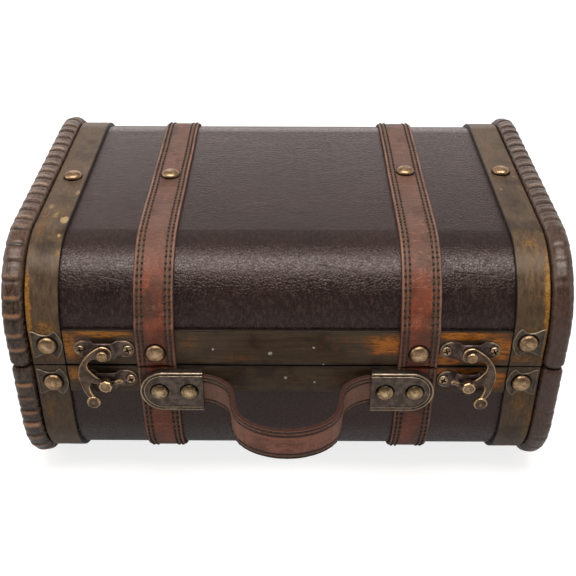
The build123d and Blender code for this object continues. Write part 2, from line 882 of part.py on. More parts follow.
for side, middle in (("left", -hinge_middle), ("right", hinge_middle)):
    base_leaf = Pos(middle, 0, seam_height) * hinge_leaf(-1, 0) - base_back_holes
    lid_leaf = Pos(middle, 0, seam_height) * hinge_leaf(1, 1) - lid_back_holes
    parts["base_" + side + "_hinge_leaf"] = base_leaf
    parts["lid_" + side + "_hinge_leaf"] = lid_leaf
    parts[side + "_hinge_pin"] = Pos(middle, 0, seam_height) * hinge_pin()
parts["base_hinge_screws"] = group(
    [screw(at, leaf_screw_radius, screw_length) for at in base_leaf_screw_places]
)
parts["lid_hinge_screws"] = group(
    [screw(at, leaf_screw_radius, screw_length) for at in lid_leaf_screw_places]
)

# the row frame: the origin is in the middle of the whole part's footprint

boxes = [solid.bounding_box() for solid in parts.values()]
front_reach = min(box.min.Y for box in boxes)
back_reach = max(box.max.Y for box in boxes)
shift_y = -(front_reach + back_reach) / 2
print("shift_y", round(shift_y, 4), "hinge y", round(hinge_axis_y + shift_y, 4), "z", seam_height)
print("hook pivot x", latch_middle, "z", hook_plate_z)

os.makedirs("parts", exist_ok=True)
for name, solid in parts.items():
    placed = moved(solid, shift_y)
    export_step(placed, os.path.join("parts", name + ".step"))
    print(name, len(placed.solids()), round(placed.volume, 1))
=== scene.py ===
import math
import random

import bmesh
import bpy
from mathutils import Matrix, Vector, noise


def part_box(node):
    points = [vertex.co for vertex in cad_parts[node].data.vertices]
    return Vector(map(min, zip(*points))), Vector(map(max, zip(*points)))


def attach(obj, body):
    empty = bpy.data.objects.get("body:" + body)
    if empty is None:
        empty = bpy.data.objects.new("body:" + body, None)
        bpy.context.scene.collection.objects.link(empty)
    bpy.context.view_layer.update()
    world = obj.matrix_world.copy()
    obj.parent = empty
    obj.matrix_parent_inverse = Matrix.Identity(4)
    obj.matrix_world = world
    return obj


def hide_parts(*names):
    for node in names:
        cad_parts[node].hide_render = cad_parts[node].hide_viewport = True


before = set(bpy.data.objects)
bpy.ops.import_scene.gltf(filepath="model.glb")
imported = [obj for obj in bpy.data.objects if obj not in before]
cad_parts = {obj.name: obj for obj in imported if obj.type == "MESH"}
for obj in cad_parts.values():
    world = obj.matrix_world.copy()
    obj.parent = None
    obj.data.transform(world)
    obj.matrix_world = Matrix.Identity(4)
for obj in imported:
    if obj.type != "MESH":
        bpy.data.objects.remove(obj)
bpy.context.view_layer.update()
print("frame loaded")

mm = 0.001
front, back, up = Vector((0, -1, 0)), Vector((0, 1, 0)), Vector((0, 0, 1))
beadLow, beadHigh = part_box("lid_left_bead")

# the case as packed; rises are measured out from the face of the covering
caseForm = {
    "halfLength": -beadLow.x,
    "halfDepth": (beadHigh.y - beadLow.y) / 2,
    "middleY": (beadHigh.y + beadLow.y) / 2,
    "height": beadHigh.z,
    "cornerRadius": 46.5 * mm,
    "beadRise": 5.8 * mm,
    "woodRise": 2.2 * mm,
    "strapRise": 4.2 * mm,
    "lidSeam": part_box("lid_left_end_board")[0].z,
    "baseSeam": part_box("base_left_end_board")[1].z,
}
caseForm["faceDepth"] = caseForm["halfDepth"] - caseForm["beadRise"]
caseForm["seam"] = (caseForm["lidSeam"] + caseForm["baseSeam"]) / 2
caseForm["woodFace"] = caseForm["middleY"] - caseForm["faceDepth"] - caseForm["woodRise"]


class Wire:
    # a socket that can be used in sums
    def __init__(self, shader, socket):
        self.shader = shader
        self.socket = socket

    def __add__(self, other):
        return self.shader.maths("ADD", self, other)

    def __sub__(self, other):
        return self.shader.maths("SUBTRACT", self, other)

    def __rsub__(self, other):
        return self.shader.maths("SUBTRACT", other, self)

    def __mul__(self, other):
        return self.shader.maths("MULTIPLY", self, other)

    def __abs__(self):
        return self.shader.maths("ABSOLUTE", self)

    __radd__ = __add__
    __rmul__ = __mul__


class Shader:
    # builds one node tree; lengths in it are millimetres
    def __init__(self, owner):
        owner.use_nodes = True
        self.tree = owner.node_tree
        self.tree.nodes.clear()

    def node(self, kind, settings=None, inputs=None, output=0):
        made = self.tree.nodes.new(kind)
        for key, value in (settings or {}).items():
            setattr(made, key, value)
        for key, value in (inputs or {}).items():
            self.feed(made.inputs[key], value)
        return None if output is None else Wire(self, made.outputs[output])

    def feed(self, socket, value):
        if isinstance(value, Wire):
            self.tree.links.new(value.socket, socket)
        else:
            socket.default_value = (*value, 1) if socket.type == "RGBA" else value

    def maths(self, operation, a, b=0.0):
        return self.node("ShaderNodeMath", {"operation": operation}, {0: a, 1: b})

    def vector(self, operation, a, b, output=0):
        return self.node("ShaderNodeVectorMath", {"operation": operation}, {0: a, 1: b}, output)

    def stretched(self, point, shares):
        return self.vector("MULTIPLY", point, shares) if shares else point

    def place(self):
        # the surface point
        return self.stretched(self.node("ShaderNodeTexCoord", output="Object"), (1000, 1000, 1000))

    def lay(self):
        # along, across and up on the piece itself
        found = self.node("ShaderNodeAttribute", {"attribute_name": "lay"}, output="Vector")
        return self.stretched(found, (1000, 1000, 1000))

    def mark(self, name):
        return self.node("ShaderNodeAttribute", {"attribute_name": name}, output="Fac")

    def split(self, point, axis):
        return self.node("ShaderNodeSeparateXYZ", inputs={0: point}, output=axis)

    def noise(self, point, scale, detail=3.0, roughness=0.55, stretch=None, twist=0.0):
        inputs = {"Scale": scale, "Detail": detail, "Roughness": roughness, "Distortion": twist}
        inputs["Vector"] = self.stretched(point, stretch)
        return self.node("ShaderNodeTexNoise", inputs=inputs)

    def noises(self, point, rows):
        return [self.noise(point, *row) for row in rows.values()]

    def cells(self, point, scale, stretch=None):
        inputs = {"Vector": self.stretched(point, stretch), "Scale": scale}
        return self.node("ShaderNodeTexVoronoi", {"feature": "DISTANCE_TO_EDGE"}, inputs)

    def span(self, value, low, high, toLow=0.0, toHigh=1.0):
        inputs = {"Value": value, "From Min": low, "From Max": high, "To Min": toLow, "To Max": toHigh}
        return self.node("ShaderNodeMapRange", {"interpolation_type": "SMOOTHSTEP"}, inputs)

    def mix(self, factor, a, b):
        return self.node("ShaderNodeMix", {"data_type": "RGBA"}, {0: factor, 6: a, 7: b}, 2)

    def coat(self, colour, tint, *span):
        # lays a tint over the colour where the span says
        return self.mix(self.span(*span), colour, tint)

    def bump(self, height, depth, strength=1.0, under=None):
        inputs = {"Height": height, "Distance": depth, "Strength": strength}
        if under:
            inputs["Normal"] = under
        return self.node("ShaderNodeBump", inputs=inputs)

    def rays(self):
        # rays that see a thing, straight or through glass, and rays that mirror it
        kinds = ("Is Camera Ray", "Is Transmission Ray", "Is Glossy Ray")
        seen, clear, mirrored = (self.node("ShaderNodeLightPath", output=kind) for kind in kinds)
        return self.maths("MAXIMUM", seen, clear), mirrored

    def surface(self, **sockets):
        names = {key: "".join(" " + c if c.isupper() else c for c in key).title() for key in sockets}
        inputs = {names[key].replace("Ior", "IOR"): value for key, value in sockets.items()}
        shaded = self.node("ShaderNodeBsdfPrincipled", inputs=inputs)
        self.node("ShaderNodeOutputMaterial", inputs={0: shaded}, output=None)


def newShader(name):
    material = bpy.data.materials.new(name)
    return material, Shader(material)


# a row of noises gives scale, detail, roughness, stretch and twist
coveringLook = {
    "dark": (0.0125, 0.0068, 0.0060),
    "light": (0.024, 0.0135, 0.0118),
    "scuffed": (0.036, 0.021, 0.0185),
    "veined": (0.049, 0.030, 0.027),
    "warm": (0.039, 0.019, 0.017),
    "valley": (0.010, 0.006, 0.005),
    "sheen": (1.0, 0.84, 0.8),
    "grainSize": 0.62,
    "grainDepth": 0.34 * mm,
    "foldDepth": 0.3 * mm,
    "creaseDepth": 0.25 * mm,
    "roughness": (0.11, 0.18),
    "noises": {
        "drift": (0.016, 4),
        "fine": (0.85, 4, 0.6, (1.5, 0.75, 0.75)),
        "scuffs": (0.11, 5, 0.7, (1.0, 0.7, 1.6), 1.0),
        "veins": (0.4, 4, 0.7, (1.5, 0.8, 0.7), 0.8),
        "folds": (0.06, 4, 0.6, (0.8, 1.2, 1.2), 0.8),
        "coarse": (0.36, 3, 0.6, (1.5, 0.65, 0.65), 0.7),
        "breaks": (0.02, 2),
        "polish": (0.5, 4, 0.7, (1.25, 0.85, 0.85), 0.4),
        "patches": (0.09, 5, 0.65),
    },
}


def coveringMaterial():
    look = coveringLook
    material, s = newShader("coveringLeather")
    point = s.place()
    x, z = s.split(point, "X"), s.split(point, "Z")
    drift, fine, scuffs, veins, folds, coarse, breaks, polish, patches = s.noises(point, look["noises"])
    cell = s.cells(point, look["grainSize"])
    ends = s.span(abs(x), 139.0, 143.0)
    upper = s.span(z, 84.0, 100.0) * (1 - ends)
    face = upper * s.span(z, 124.0, 138.0, 1.0, 0.0)
    bent = s.span(z, 141.0, 147.0, 1.0, 0.0)
    bends = s.span(z, 139.0, 147.0, 1.0, 0.0) * s.span(z, 118.0, 127.0)
    colour = s.mix(s.span(drift, 0.35, 0.65), look["dark"], look["light"])
    colour = s.coat(colour, look["valley"], cell, 0.0, 0.1, 0.4, 0.0)
    colour = s.coat(colour, look["scuffed"], scuffs, 0.6, 0.74, 0.0, 0.5)
    # the base half is plainer and a little warmer
    colour = s.mix((1 - upper) * s.span(x, -40.0, 110.0, 0.25, 0.8) * (1 - ends), colour, look["warm"])
    # lighter veins, strongest on the lid's front under the bend: partly the leather's own mottling, partly a
    # painted highlight where its grain would catch the lamp
    colour = s.mix(s.span(veins, 0.5, 0.6, 0.0, 0.9) * (face * 0.6 + upper * 0.4), colour, look["veined"])
    colour = s.coat(colour, look["dark"], veins, 0.48, 0.36, 0.0, 0.7)
    # the grain stands out where the cloth is bent, and lies flat on the top
    height = fine * (0.8 - bent * 0.2) + (s.span(cell, 0.0, 0.22) * 0.25 + coarse * 0.25) * bent
    # a few long creases where the cloth was pulled over the bends
    lines = s.cells(point, 0.026, (1.0, 1.5, 1.5)) + (fine - 0.5) * 0.012
    crease = s.span(lines, 0.0, 0.026, 1.0, 0.0) * s.span(breaks, 0.45, 0.54) * bends
    normal = s.bump(folds * (0.35 + bends * 0.5), look["foldDepth"])
    normal = s.bump(1 - crease, look["creaseDepth"], 0.8, normal)
    normal = s.bump(height * (0.55 + upper * 0.45), look["grainDepth"], 1.0, normal)
    # the grain's tops are polished and its valleys dull
    gloss = s.span(polish, 0.4, 0.6) * s.span(cell, 0.0, 0.16, 0.35, 1.0) * (1 - crease * 0.8)
    s.surface(
        baseColor=colour, normal=normal, specularIorLevel=0.47, specularTint=look["sheen"],
        roughness=s.span(patches, 0.3, 0.7, *look["roughness"]) + (1 - gloss) * bent * 0.15,
        coatWeight=gloss * (0.5 - bent * 0.2 - bent * (1 - upper) * 0.25),
        coatRoughness=0.14, coatTint=look["sheen"],
    )
    return material


strapLook = {
    "red": (0.245, 0.060, 0.029),
    "brown": (0.110, 0.046, 0.030),
    "dulled": (0.122, 0.071, 0.054),
    "dark": (0.045, 0.017, 0.012),
    "rubbed": (0.33, 0.16, 0.10),
    "olive": (0.145, 0.078, 0.045),
    "tarnished": (0.145, 0.092, 0.064),
    "edge": (0.27, 0.15, 0.105),
    "seam": (0.026, 0.013, 0.009),
    "grainDepth": 0.14 * mm,
    "wrinkleDepth": 0.5 * mm,
    # how strongly the front is dulled, the ends tarnished, the seams darkened and the margins paled
    "dulling": 0.0,
    "tarnishing": 0.0,
    "sewing": 0.6,
    "paling": 1.0,
    "noises": {
        "drift": (0.05, 4, 0.6, (0.8, 1.5, 1.0)),
        "rubs": (0.16, 5, 0.65, None, 1.2),
        "scuffs": (0.5, 5, 0.75, (1.6, 0.5, 1.0), 1.0),
        "blots": (0.11, 4, 0.6, (0.6, 1.2, 1.0)),
        "smear": (0.7, 4, 0.7),
        "grain": (1.5, 4, 0.6),
        "wrinkles": (0.14, 3, 0.5, (2.2, 0.5, 1.0)),
    },
}
# the handle stays red in its middle and has gone olive at its ends
handleLook = dict(
    strapLook, dulled=(0.40, 0.18, 0.125), dulling=0.6, tarnishing=0.6, sewing=1.0, paling=0.4
)


def strapMaterial(name, form, look):
    half, inner, outer = form["halfWidth"] / mm, form["rowInner"] / mm, form["rowOuter"] / mm
    sewing = look["sewing"]
    material, s = newShader(name)
    point, lay = s.place(), s.lay()
    across = abs(s.split(lay, "Y"))
    drift, rubs, scuffs, blots, smear, grain, wrinkles = s.noises(lay, look["noises"])
    colour = s.mix(s.span(drift, 0.34, 0.58), look["brown"], look["red"])
    # the top has faded to brown
    height = s.split(point, "Z") + (drift - 0.5) * 14
    colour = s.coat(colour, look["dulled"], height, 132.0, 149.0, look["dulling"], 0.8)
    ends = abs(s.split(point, "X")) + (drift - 0.5) * 50
    colour = s.coat(colour, look["tarnished"], ends, 12.0, 42.0, 0.0, look["tarnishing"])
    colour = s.coat(colour, look["rubbed"], rubs, 0.54, 0.72, 0.0, 0.65)
    colour = s.coat(colour, look["rubbed"], scuffs, 0.58, 0.7, 0.0, 0.6)
    colour = s.coat(colour, look["dark"], scuffs, 0.44, 0.32, 0.0, 0.6)
    crease = s.span(s.cells(lay, 0.12, (1.3, 0.6, 1.0)), 0.0, 0.035, 1.0, 0.0)
    colour = s.mix(crease * s.span(drift, 0.45, 0.6) * 0.5, colour, look["rubbed"])
    colour = s.coat(colour, look["dark"], blots, 0.5, 0.68, 0.0, 0.5)
    # olive between the two rows of stitches, dark in them, and pale or burnt at the edge
    between = s.span(across, inner - 0.7, inner + 0.1) * s.span(across, outer - 0.1, outer + 0.7, 1.0, 0.0)
    colour = s.mix(between * s.span(smear, 0.35, 0.6, 0.35, 0.9), colour, look["olive"])
    near = s.maths("MINIMUM", abs(across - inner), abs(across - outer))
    sewn = s.span(near, 0.35, 0.8, sewing, 0.0) * s.span(smear, 0.45 - sewing * 0.25, 0.6 - sewing * 0.2)
    colour = s.mix(sewn, colour, look["seam"])
    margin = s.span(across, outer + 0.2, outer + 0.9) * s.span(blots, 0.4, 0.6, 0.85, 0.35)
    colour = s.mix(margin * look["paling"], colour, look["edge"])
    burnt = s.span(across, half - 0.6, half - 0.1)
    colour = s.mix(burnt * (0.7 + sewing * 0.28), colour, look["dark"])
    colour = s.coat(colour, look["dark"], grain, 0.36, 0.5, 0.45, 0.0)
    height = grain * 0.7 + s.span(s.cells(lay, 1.1), 0.0, 0.2) * 0.35 - crease * 0.5
    normal = s.bump(height, look["grainDepth"], 1.0, s.bump(wrinkles, look["wrinkleDepth"], 0.5))
    rough = s.span(rubs, 0.3, 0.7, 0.36, 0.52) + burnt * 0.48
    s.surface(
        baseColor=colour, roughness=rough, normal=normal, specularIorLevel=0.42, specularTint=(1.0, 0.88, 0.8)
    )
    return material


beadLook = {
    "dark": (0.023, 0.0135, 0.0100),
    "brown": (0.084, 0.052, 0.035),
    "umber": (0.135, 0.074, 0.045),
    "warm": (0.090, 0.047, 0.035),
    "rust": (0.38, 0.185, 0.085),
    "pale": (0.50, 0.36, 0.26),
    # painted shade for the grooves
    "groove": (0.008, 0.005, 0.004),
    "noises": {
        "patch": (0.22, 5, 0.68),
        "fine": (0.8, 5, 0.65, (1.6, 0.5, 1.0)),
        "broken": (0.4, 4, 0.7),
        "chips": (0.55, 3, 0.6),
    },
}


def beadMaterial():
    look = beadLook
    material, s = newShader("beadLeather")
    point = s.place()
    ridge, groove = s.mark("worn"), s.mark("sunk")
    patch, fine, broken, chips = s.noises(s.lay(), look["noises"])
    # how far up the bead is: the top is painted as lit from above, with a lighter body, less rust, paler crests
    # and deeper shade in the grooves
    top = s.span(s.split(point, "Z"), 118.0, 148.0)
    # the right bead is the plainer one in front
    right = s.span(s.split(point, "X"), -1.0, 1.0)
    plain = (0.8 + right * 0.2) * (1 - top)
    colour = s.mix(s.span(patch, 0.42, 0.58), look["dark"], look["brown"])
    browned = s.span(broken, 0.5, 0.7, 0.0, 0.35) + top * s.span(broken, 0.3, 0.55, 0.1, 0.6)
    colour = s.mix(browned, colour, look["umber"])
    rubbed = ridge * 1.25 - top * 0.5 + (broken - 0.5) * 1.1
    colour = s.coat(colour, look["umber"], rubbed, 0.25, 0.8, 0.0, 0.55)
    colour = s.mix(s.span(rubbed, 0.3, 1.05, 0.0, 0.85) * (1 - top * 0.5), colour, look["rust"])
    colour = s.coat(colour, look["pale"], ridge * 0.35 + fine, 0.8, 0.98, 0.0, 0.6)
    colour = s.coat(colour, look["pale"], chips, 0.735, 0.76)
    colour = s.mix(right * (1 - top) * 0.6, colour, look["warm"])
    # painted shade: the right bead's top is darkened, as the light comes from the left
    colour = s.mix(right * top * 0.4, colour, look["dark"])
    colour = s.mix(s.span(fine, 0.34, 0.47, 0.7, 0.0) * (1 - plain * 0.85), colour, look["dark"])
    # painted shade in the grooves, deeper on the top
    colour = s.coat(colour, look["groove"], groove, 0.3, 1.0, 0.0, 0.75 + top * 0.2)
    # painted highlight on the crests of the top
    colour = s.mix(s.span(ridge, 0.3, 0.9) * top * 0.22, colour, look["pale"])
    normal = s.bump((fine * 0.6 + broken) * (1 - plain * 0.8), 0.17 * mm)
    rough = s.span(patch, 0.35, 0.65, 0.2, 0.38)
    s.surface(
        baseColor=colour, roughness=rough, normal=normal, specularIorLevel=0.6, specularTint=(1.0, 0.92, 0.88)
    )
    return material


gold = (0.43, 0.205, 0.040)
woodLook = {
    "dark": (0.022, 0.013, 0.008),
    "brown": (0.090, 0.057, 0.036),
    "olive": (0.140, 0.096, 0.055),
    "straw": (0.20, 0.135, 0.07),
    # stain, how far the grain is drawn out, and the colours that it is worn to
    "band": (0.1, 0.3, (0.23, 0.110, 0.030), gold),
    "rail": (0.35, 0.07, (0.27, 0.095, 0.019), (0.60, 0.195, 0.022)),
    "pale": (0.46, 0.34, 0.15),
    "chip": (0.62, 0.56, 0.50),
    "joint": (0.010, 0.006, 0.004),
}


def woodMaterial(kind, chips=()):
    look = woodLook
    stain, flow, brownish, golden = look[kind]
    material, s = newShader(kind + "Wood")
    lay, point = s.lay(), s.place()
    grain = s.noise(lay, 0.45, 6, 0.66, (flow, 1.0, 1.0), 0.5)
    streaks = s.noise(lay, 1.6, 3, 0.6, (flow * 0.7, 1.0, 1.0))
    flecks = s.noise(lay, 0.8, 5, 0.7, (flow * 3, 1.0, 1.0), 0.5)
    cloud = s.noise(point, 0.045, 5, 0.65)
    wear = s.noise(point, 0.12, 5, 0.68, twist=0.6)
    speckle = s.noise(point, 1.1, 3, 0.7)
    colour = s.mix(s.span(grain, 0.36, 0.64), look["brown"], look["olive"])
    colour = s.mix(stain, colour, look["dark"])
    colour = s.coat(colour, look["dark"], streaks, 0.5, 0.7, 0.0, 0.4)
    colour = s.coat(colour, look["dark"], cloud, 0.48, 0.68, 0.0, 0.7)
    colour = s.coat(colour, look["straw"], cloud, 0.4, 0.28, 0.0, 0.35)
    worn = s.mark("worn") + (wear - 0.5) * 1.1 + (grain - 0.5) * 0.7 + (flecks - 0.5) * 0.9
    colour = s.coat(colour, brownish, worn, 0.22, 0.75, 0.0, 0.75)
    # the rails have gone redder toward the right
    golden = s.mix(s.span(s.split(point, "X"), -80.0, 60.0, 0.6, 0.0), golden, gold)
    colour = s.mix(s.span(worn, 0.55, 1.0) * s.span(speckle, 0.3, 0.6, 0.6, 1.0), colour, golden)
    colour = s.mix(s.span(worn, 0.4, 0.7) * s.span(flecks, 0.53, 0.4, 0.0, 0.6), colour, look["dark"])
    pale = s.mark("pale") + (wear - 0.5) * 0.9 + (speckle - 0.5) * 0.5
    colour = s.coat(colour, look["pale"], pale, 0.45, 0.85, 0.0, 0.8)
    colour = s.coat(colour, look["dark"], speckle, 0.52, 0.72, 0.0, 0.45)
    colour = s.coat(colour, look["joint"], s.mark("sunk"), 0.1, 0.9)
    for place, size in chips:
        away = s.vector("DISTANCE", point, place, output="Value") + s.noise(point, 1.5) * 0.9 - 0.45
        colour = s.coat(colour, look["chip"], away, size, size + 0.3, 1.0, 0.0)
    normal = s.bump(grain * 0.5 + streaks * 0.6 + speckle * 0.35, 0.14 * mm)
    rough = s.span(grain, 0.3, 0.7, 0.3, 0.45)
    s.surface(
        baseColor=colour, roughness=rough, normal=normal, specularIorLevel=0.34, specularTint=(1.0, 0.86, 0.74)
    )
    return material


plainLook = {
    "board": ((0.30, 0.19, 0.10), (0.42, 0.29, 0.16)),
    "lining": ((0.030, 0.020, 0.016), (0.044, 0.030, 0.024)),
    "weave": (0.085, 0.062, 0.05),
    "threadsPerTurn": 5.2,
    "thread": ((0.012, 0.007, 0.005), (0.036, 0.020, 0.013)),
}


def boardMaterial():
    material, s = newShader("bareBoard")
    grain = s.noise(s.place(), 0.5, 5, 0.6, (0.08, 0.08, 1.0))
    colour = s.mix(s.span(grain, 0.35, 0.65), *plainLook["board"])
    s.surface(baseColor=colour, roughness=0.7, normal=s.bump(grain, 0.1 * mm))
    return material


def liningMaterial():
    material, s = newShader("liningFabric")
    point = s.place()
    pitch = plainLook["threadsPerTurn"]
    warp = s.maths("SINE", s.split(point, "X") * pitch)
    weave = warp * s.maths("SINE", (s.split(point, "Y") + s.split(point, "Z")) * pitch)
    colour = s.mix(s.span(s.noise(point, 0.06, 3), 0.35, 0.65), *plainLook["lining"])
    colour = s.coat(colour, plainLook["weave"], weave, -0.6, 0.8, 0.0, 0.35)
    s.surface(baseColor=colour, roughness=0.85, sheenWeight=0.25, normal=s.bump(weave, 0.12 * mm))
    return material


def threadMaterial():
    material, s = newShader("waxedThread")
    turn = s.noise(s.lay(), 1.2, 2, stretch=(2.0, 1.0, 1.0))
    colour = s.mix(s.span(turn, 0.4, 0.6), *plainLook["thread"])
    s.surface(baseColor=colour, roughness=0.6, normal=s.bump(turn, 0.1 * mm))
    return material


# dark, body and bright colour, roughness, metallic, and the scale of the blots
metalLook = {
    "bronze": ((0.080, 0.056, 0.048), (0.165, 0.119, 0.101), (0.42, 0.32, 0.21), (0.34, 0.5), 0.9, 0.3),
    "hook": ((0.078, 0.054, 0.041), (0.152, 0.106, 0.078), (0.66, 0.46, 0.26), (0.26, 0.38), 0.95, 0.3),
    "cap": ((0.085, 0.066, 0.055), (0.156, 0.119, 0.098), (0.50, 0.39, 0.27), (0.3, 0.42), 0.9, 0.3),
    "plate": ((0.088, 0.066, 0.048), (0.135, 0.105, 0.078), (0.28, 0.23, 0.17), (0.42, 0.56), 0.8, 0.3),
    "brass": ((0.28, 0.182, 0.104), (0.48, 0.32, 0.185), (0.68, 0.49, 0.30), (0.3, 0.4), 1.0, 0.4),
    "rivet": ((0.24, 0.165, 0.09), (0.42, 0.29, 0.16), (0.74, 0.56, 0.34), (0.24, 0.34), 1.0, 0.5),
    "screw": ((0.17, 0.11, 0.065), (0.44, 0.30, 0.18), (0.72, 0.54, 0.36), (0.28, 0.42), 1.0, 0.3),
}
grimeAndShade = (0.012, 0.009, 0.007)


def metalMaterial(kind):
    dark, body, bright, (shiny, dull), metallic, blotScale = metalLook[kind]
    material, s = newShader(kind + "Metal")
    point = s.place()
    blot = s.noise(point, blotScale, 4, 0.6)
    fine = s.noise(point, 1.6, 4, 0.6)
    colour = s.mix(s.span(blot, 0.38, 0.62), dark, body)
    # the bright colour where the worn mark is high: rubbed raised edges and crowns, and on the domes, bevels and
    # rims also a painted highlight
    colour = s.coat(colour, bright, s.mark("worn") + (fine - 0.5) * 0.9 + (blot - 0.5) * 0.8, 0.4, 0.95)
    # near black where the sunk mark is high: grime together with painted shadow at the feet, on the lower domes
    # and in the recesses
    colour = s.coat(colour, grimeAndShade, s.mark("sunk"), 0.3, 0.9)
    rough = s.span(blot, 0.35, 0.65, dull, shiny)
    normal = s.bump(blot * 0.7 + fine * 0.3, 0.1 * mm)
    s.surface(baseColor=colour, roughness=rough, metallic=metallic, normal=normal)
    return material


print("materials")


class Form:
    # collects the points, faces and marks of one piece
    def __init__(self):
        self.points, self.faces, self.lay = [], [], []
        self.marks = {"worn": [], "sunk": [], "pale": []}

    def add(self, point, lay=(0, 0, 0), worn=0.0, sunk=0.0, pale=0.0):
        self.points.append(tuple(point))
        self.lay += lay
        for values, value in zip(self.marks.values(), (worn, sunk, pale)):
            values.append(value)
        return len(self.points) - 1

    def rings(self, stations, corners, at):
        # a ring of points at each station; at gives a corner's point, lay and marks
        return [[self.add(*at(station, corner)) for corner in corners] for station in stations]

    def bridge(self, one, two, closed=True):
        count = len(one)
        for n in range(count if closed else count - 1):
            m = (n + 1) % count
            self.faces.append((one[n], one[m], two[m], two[n]))

    def loft(self, rings, top=None):
        # a body from ring to ring, closed by flat ends or by the faces in top
        for one, two in zip(rings, rings[1:]):
            self.bridge(one, two)
        self.faces += [rings[0], *(top or [rings[-1]])]

    def piece(self, name, body, material, stands, slot, sharp=38):
        mesh = bpy.data.meshes.new(name)
        mesh.from_pydata(self.points, [], self.faces)
        build = bmesh.new()
        build.from_mesh(mesh)
        bmesh.ops.recalc_face_normals(build, faces=build.faces)
        build.to_mesh(mesh)
        build.free()
        mesh.attributes.new("lay", "FLOAT_VECTOR", "POINT").data.foreach_set("vector", self.lay)
        for label, values in self.marks.items():
            mesh.attributes.new(label, "FLOAT", "POINT").data.foreach_set("value", values)
        mesh.shade_smooth()
        mesh.set_sharp_from_angle(angle=math.radians(sharp))
        mesh.materials.append(material)
        piece = bpy.data.objects.new(name, mesh)
        bpy.context.collection.objects.link(piece)
        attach(piece, body)
        if stands:
            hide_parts(stands)


def lofted(stations, corners, at):
    shape = Form()
    shape.loft(shape.rings(stations, corners, at))
    return shape


def rungs(ring):
    # faces between a ring's two long edges, so that a bent plate stays smooth
    faces = []
    low, high = 0, len(ring) - 1
    while high - low > 2:
        faces.append((ring[low], ring[low + 1], ring[high - 1], ring[high]))
        low, high = low + 1, high - 1
    if high - low == 2:
        faces.append((ring[low], ring[low + 1], ring[high]))
    return faces


def outlinePlace(upper, seam):
    # a half's outline from its front seam over or under the case to its back seam
    radius = caseForm["cornerRadius"] - caseForm["beadRise"]
    faceY = caseForm["faceDepth"]
    flatY = caseForm["halfDepth"] - caseForm["cornerRadius"]
    flatZ = caseForm["height"] - caseForm["cornerRadius"] if upper else caseForm["cornerRadius"]
    side = 1 if upper else -1
    straight = abs(flatZ - seam)
    arc = radius * math.pi / 2
    across = 2 * flatY
    total = 2 * straight + 2 * arc + across

    def place(x, run, rise):
        if run <= straight:
            y, z, outY, outZ = -faceY, seam + side * run, -1, 0
        elif run <= straight + arc:
            turn = (run - straight) / radius
            outY, outZ = -math.cos(turn), side * math.sin(turn)
            y, z = -flatY + radius * outY, flatZ + radius * outZ
        elif run <= straight + arc + across:
            y, z, outY, outZ = -flatY + run - straight - arc, flatZ + side * radius, 0, side
        elif run <= total - straight:
            turn = (run - straight - arc - across) / radius
            outY, outZ = math.sin(turn), side * math.cos(turn)
            y, z = flatY + radius * outY, flatZ + radius * outZ
        else:
            y, z, outY, outZ = faceY, seam + side * (total - run), 1, 0
        return Vector((x, caseForm["middleY"] + y + outY * rise, z + outZ * rise))

    return place, total


def halves(gap=None):
    # each half with its outline; a gap parts the two seams evenly
    for half, upper in (("lid", True), ("base", False)):
        seam = caseForm[half + "Seam"] if gap is None else caseForm["seam"] + gap / 2 * (1 if upper else -1)
        yield (half, upper, *outlinePlace(upper, seam))


def sides():
    yield "left", -1
    yield "right", 1


def steps(low, high, step):
    count = max(1, round((high - low) / step))
    return [low + (high - low) * n / count for n in range(count + 1)]


def smooth(value, low, high):
    t = min(1, max(0, (value - low) / (high - low)))
    return t * t * (3 - 2 * t)


def slabSection(low, high, top, edge, inner=()):
    # an upright slab's section with rounded upper edges
    turns = [math.pi / 6 * n for n in range(4)]
    left = [(low + edge - edge * math.cos(turn), top - edge + edge * math.sin(turn)) for turn in turns]
    right = [(low + high - x, rise) for x, rise in reversed(left)]
    return [(low, 0), *left, *inner, *right, (high, 0)]


def dress(node, material):
    node.data.materials.clear()
    node.data.materials.append(material)


def dressWalls():
    covering, board, lining = coveringMaterial(), boardMaterial(), liningMaterial()
    finishes = {"_covering": covering, "_shell": board, "_end_board": board, "_lining": lining}
    for name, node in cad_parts.items():
        for ending, material in finishes.items():
            if name.endswith(ending):
                dress(node, material)


dressWalls()
print("walls")

# ribbed beads
beadForm = {
    "width": beadHigh.x - beadLow.x,
    "seamGap": 1.7 * mm,
    "pitch": 9.6 * mm,
    "grooveDepth": 0.5 * mm,
    "grooveWidth": 1.1 * mm,
    "ridge": 0.3 * mm,
    "ridgeShift": 2.3 * mm,
    "ridgeWidth": 1.5 * mm,
    "slant": 0.9 * mm,
    "lump": 0.22 * mm,
    "seat": 0.2 * mm,
    "sides": 16,
    "step": 0.6 * mm,
    "endRound": 2.2 * mm,
}


def beadGrooves(upper, side, total):
    # the place, the depth and the brightness of each groove
    count = 2 * round((total / beadForm["pitch"] * 1.03 - 1) / 2) + 1
    pitch = total / count
    dice = random.Random(7 if upper else 11)
    places = [n * pitch + dice.uniform(-0.07, 0.07) * pitch for n in range(1, count)]
    depths = [dice.uniform(0.75, 1.2) for _ in places]
    shown = [dice.choice((0.35, 0.6, 0.85, 1.05)) for _ in places]
    if side == "right":
        # the right bead is worn only on the top
        shown = [s * (0.3 + 0.6 * smooth(g, 0.08, 0.13) if upper else 0.35) for s, g in zip(shown, places)]
        depths = [d * (0.5 + 0.5 * smooth(g, 0.06, 0.11) if upper else 0.5) for d, g in zip(depths, places)]
    return list(zip(places, depths, shown))


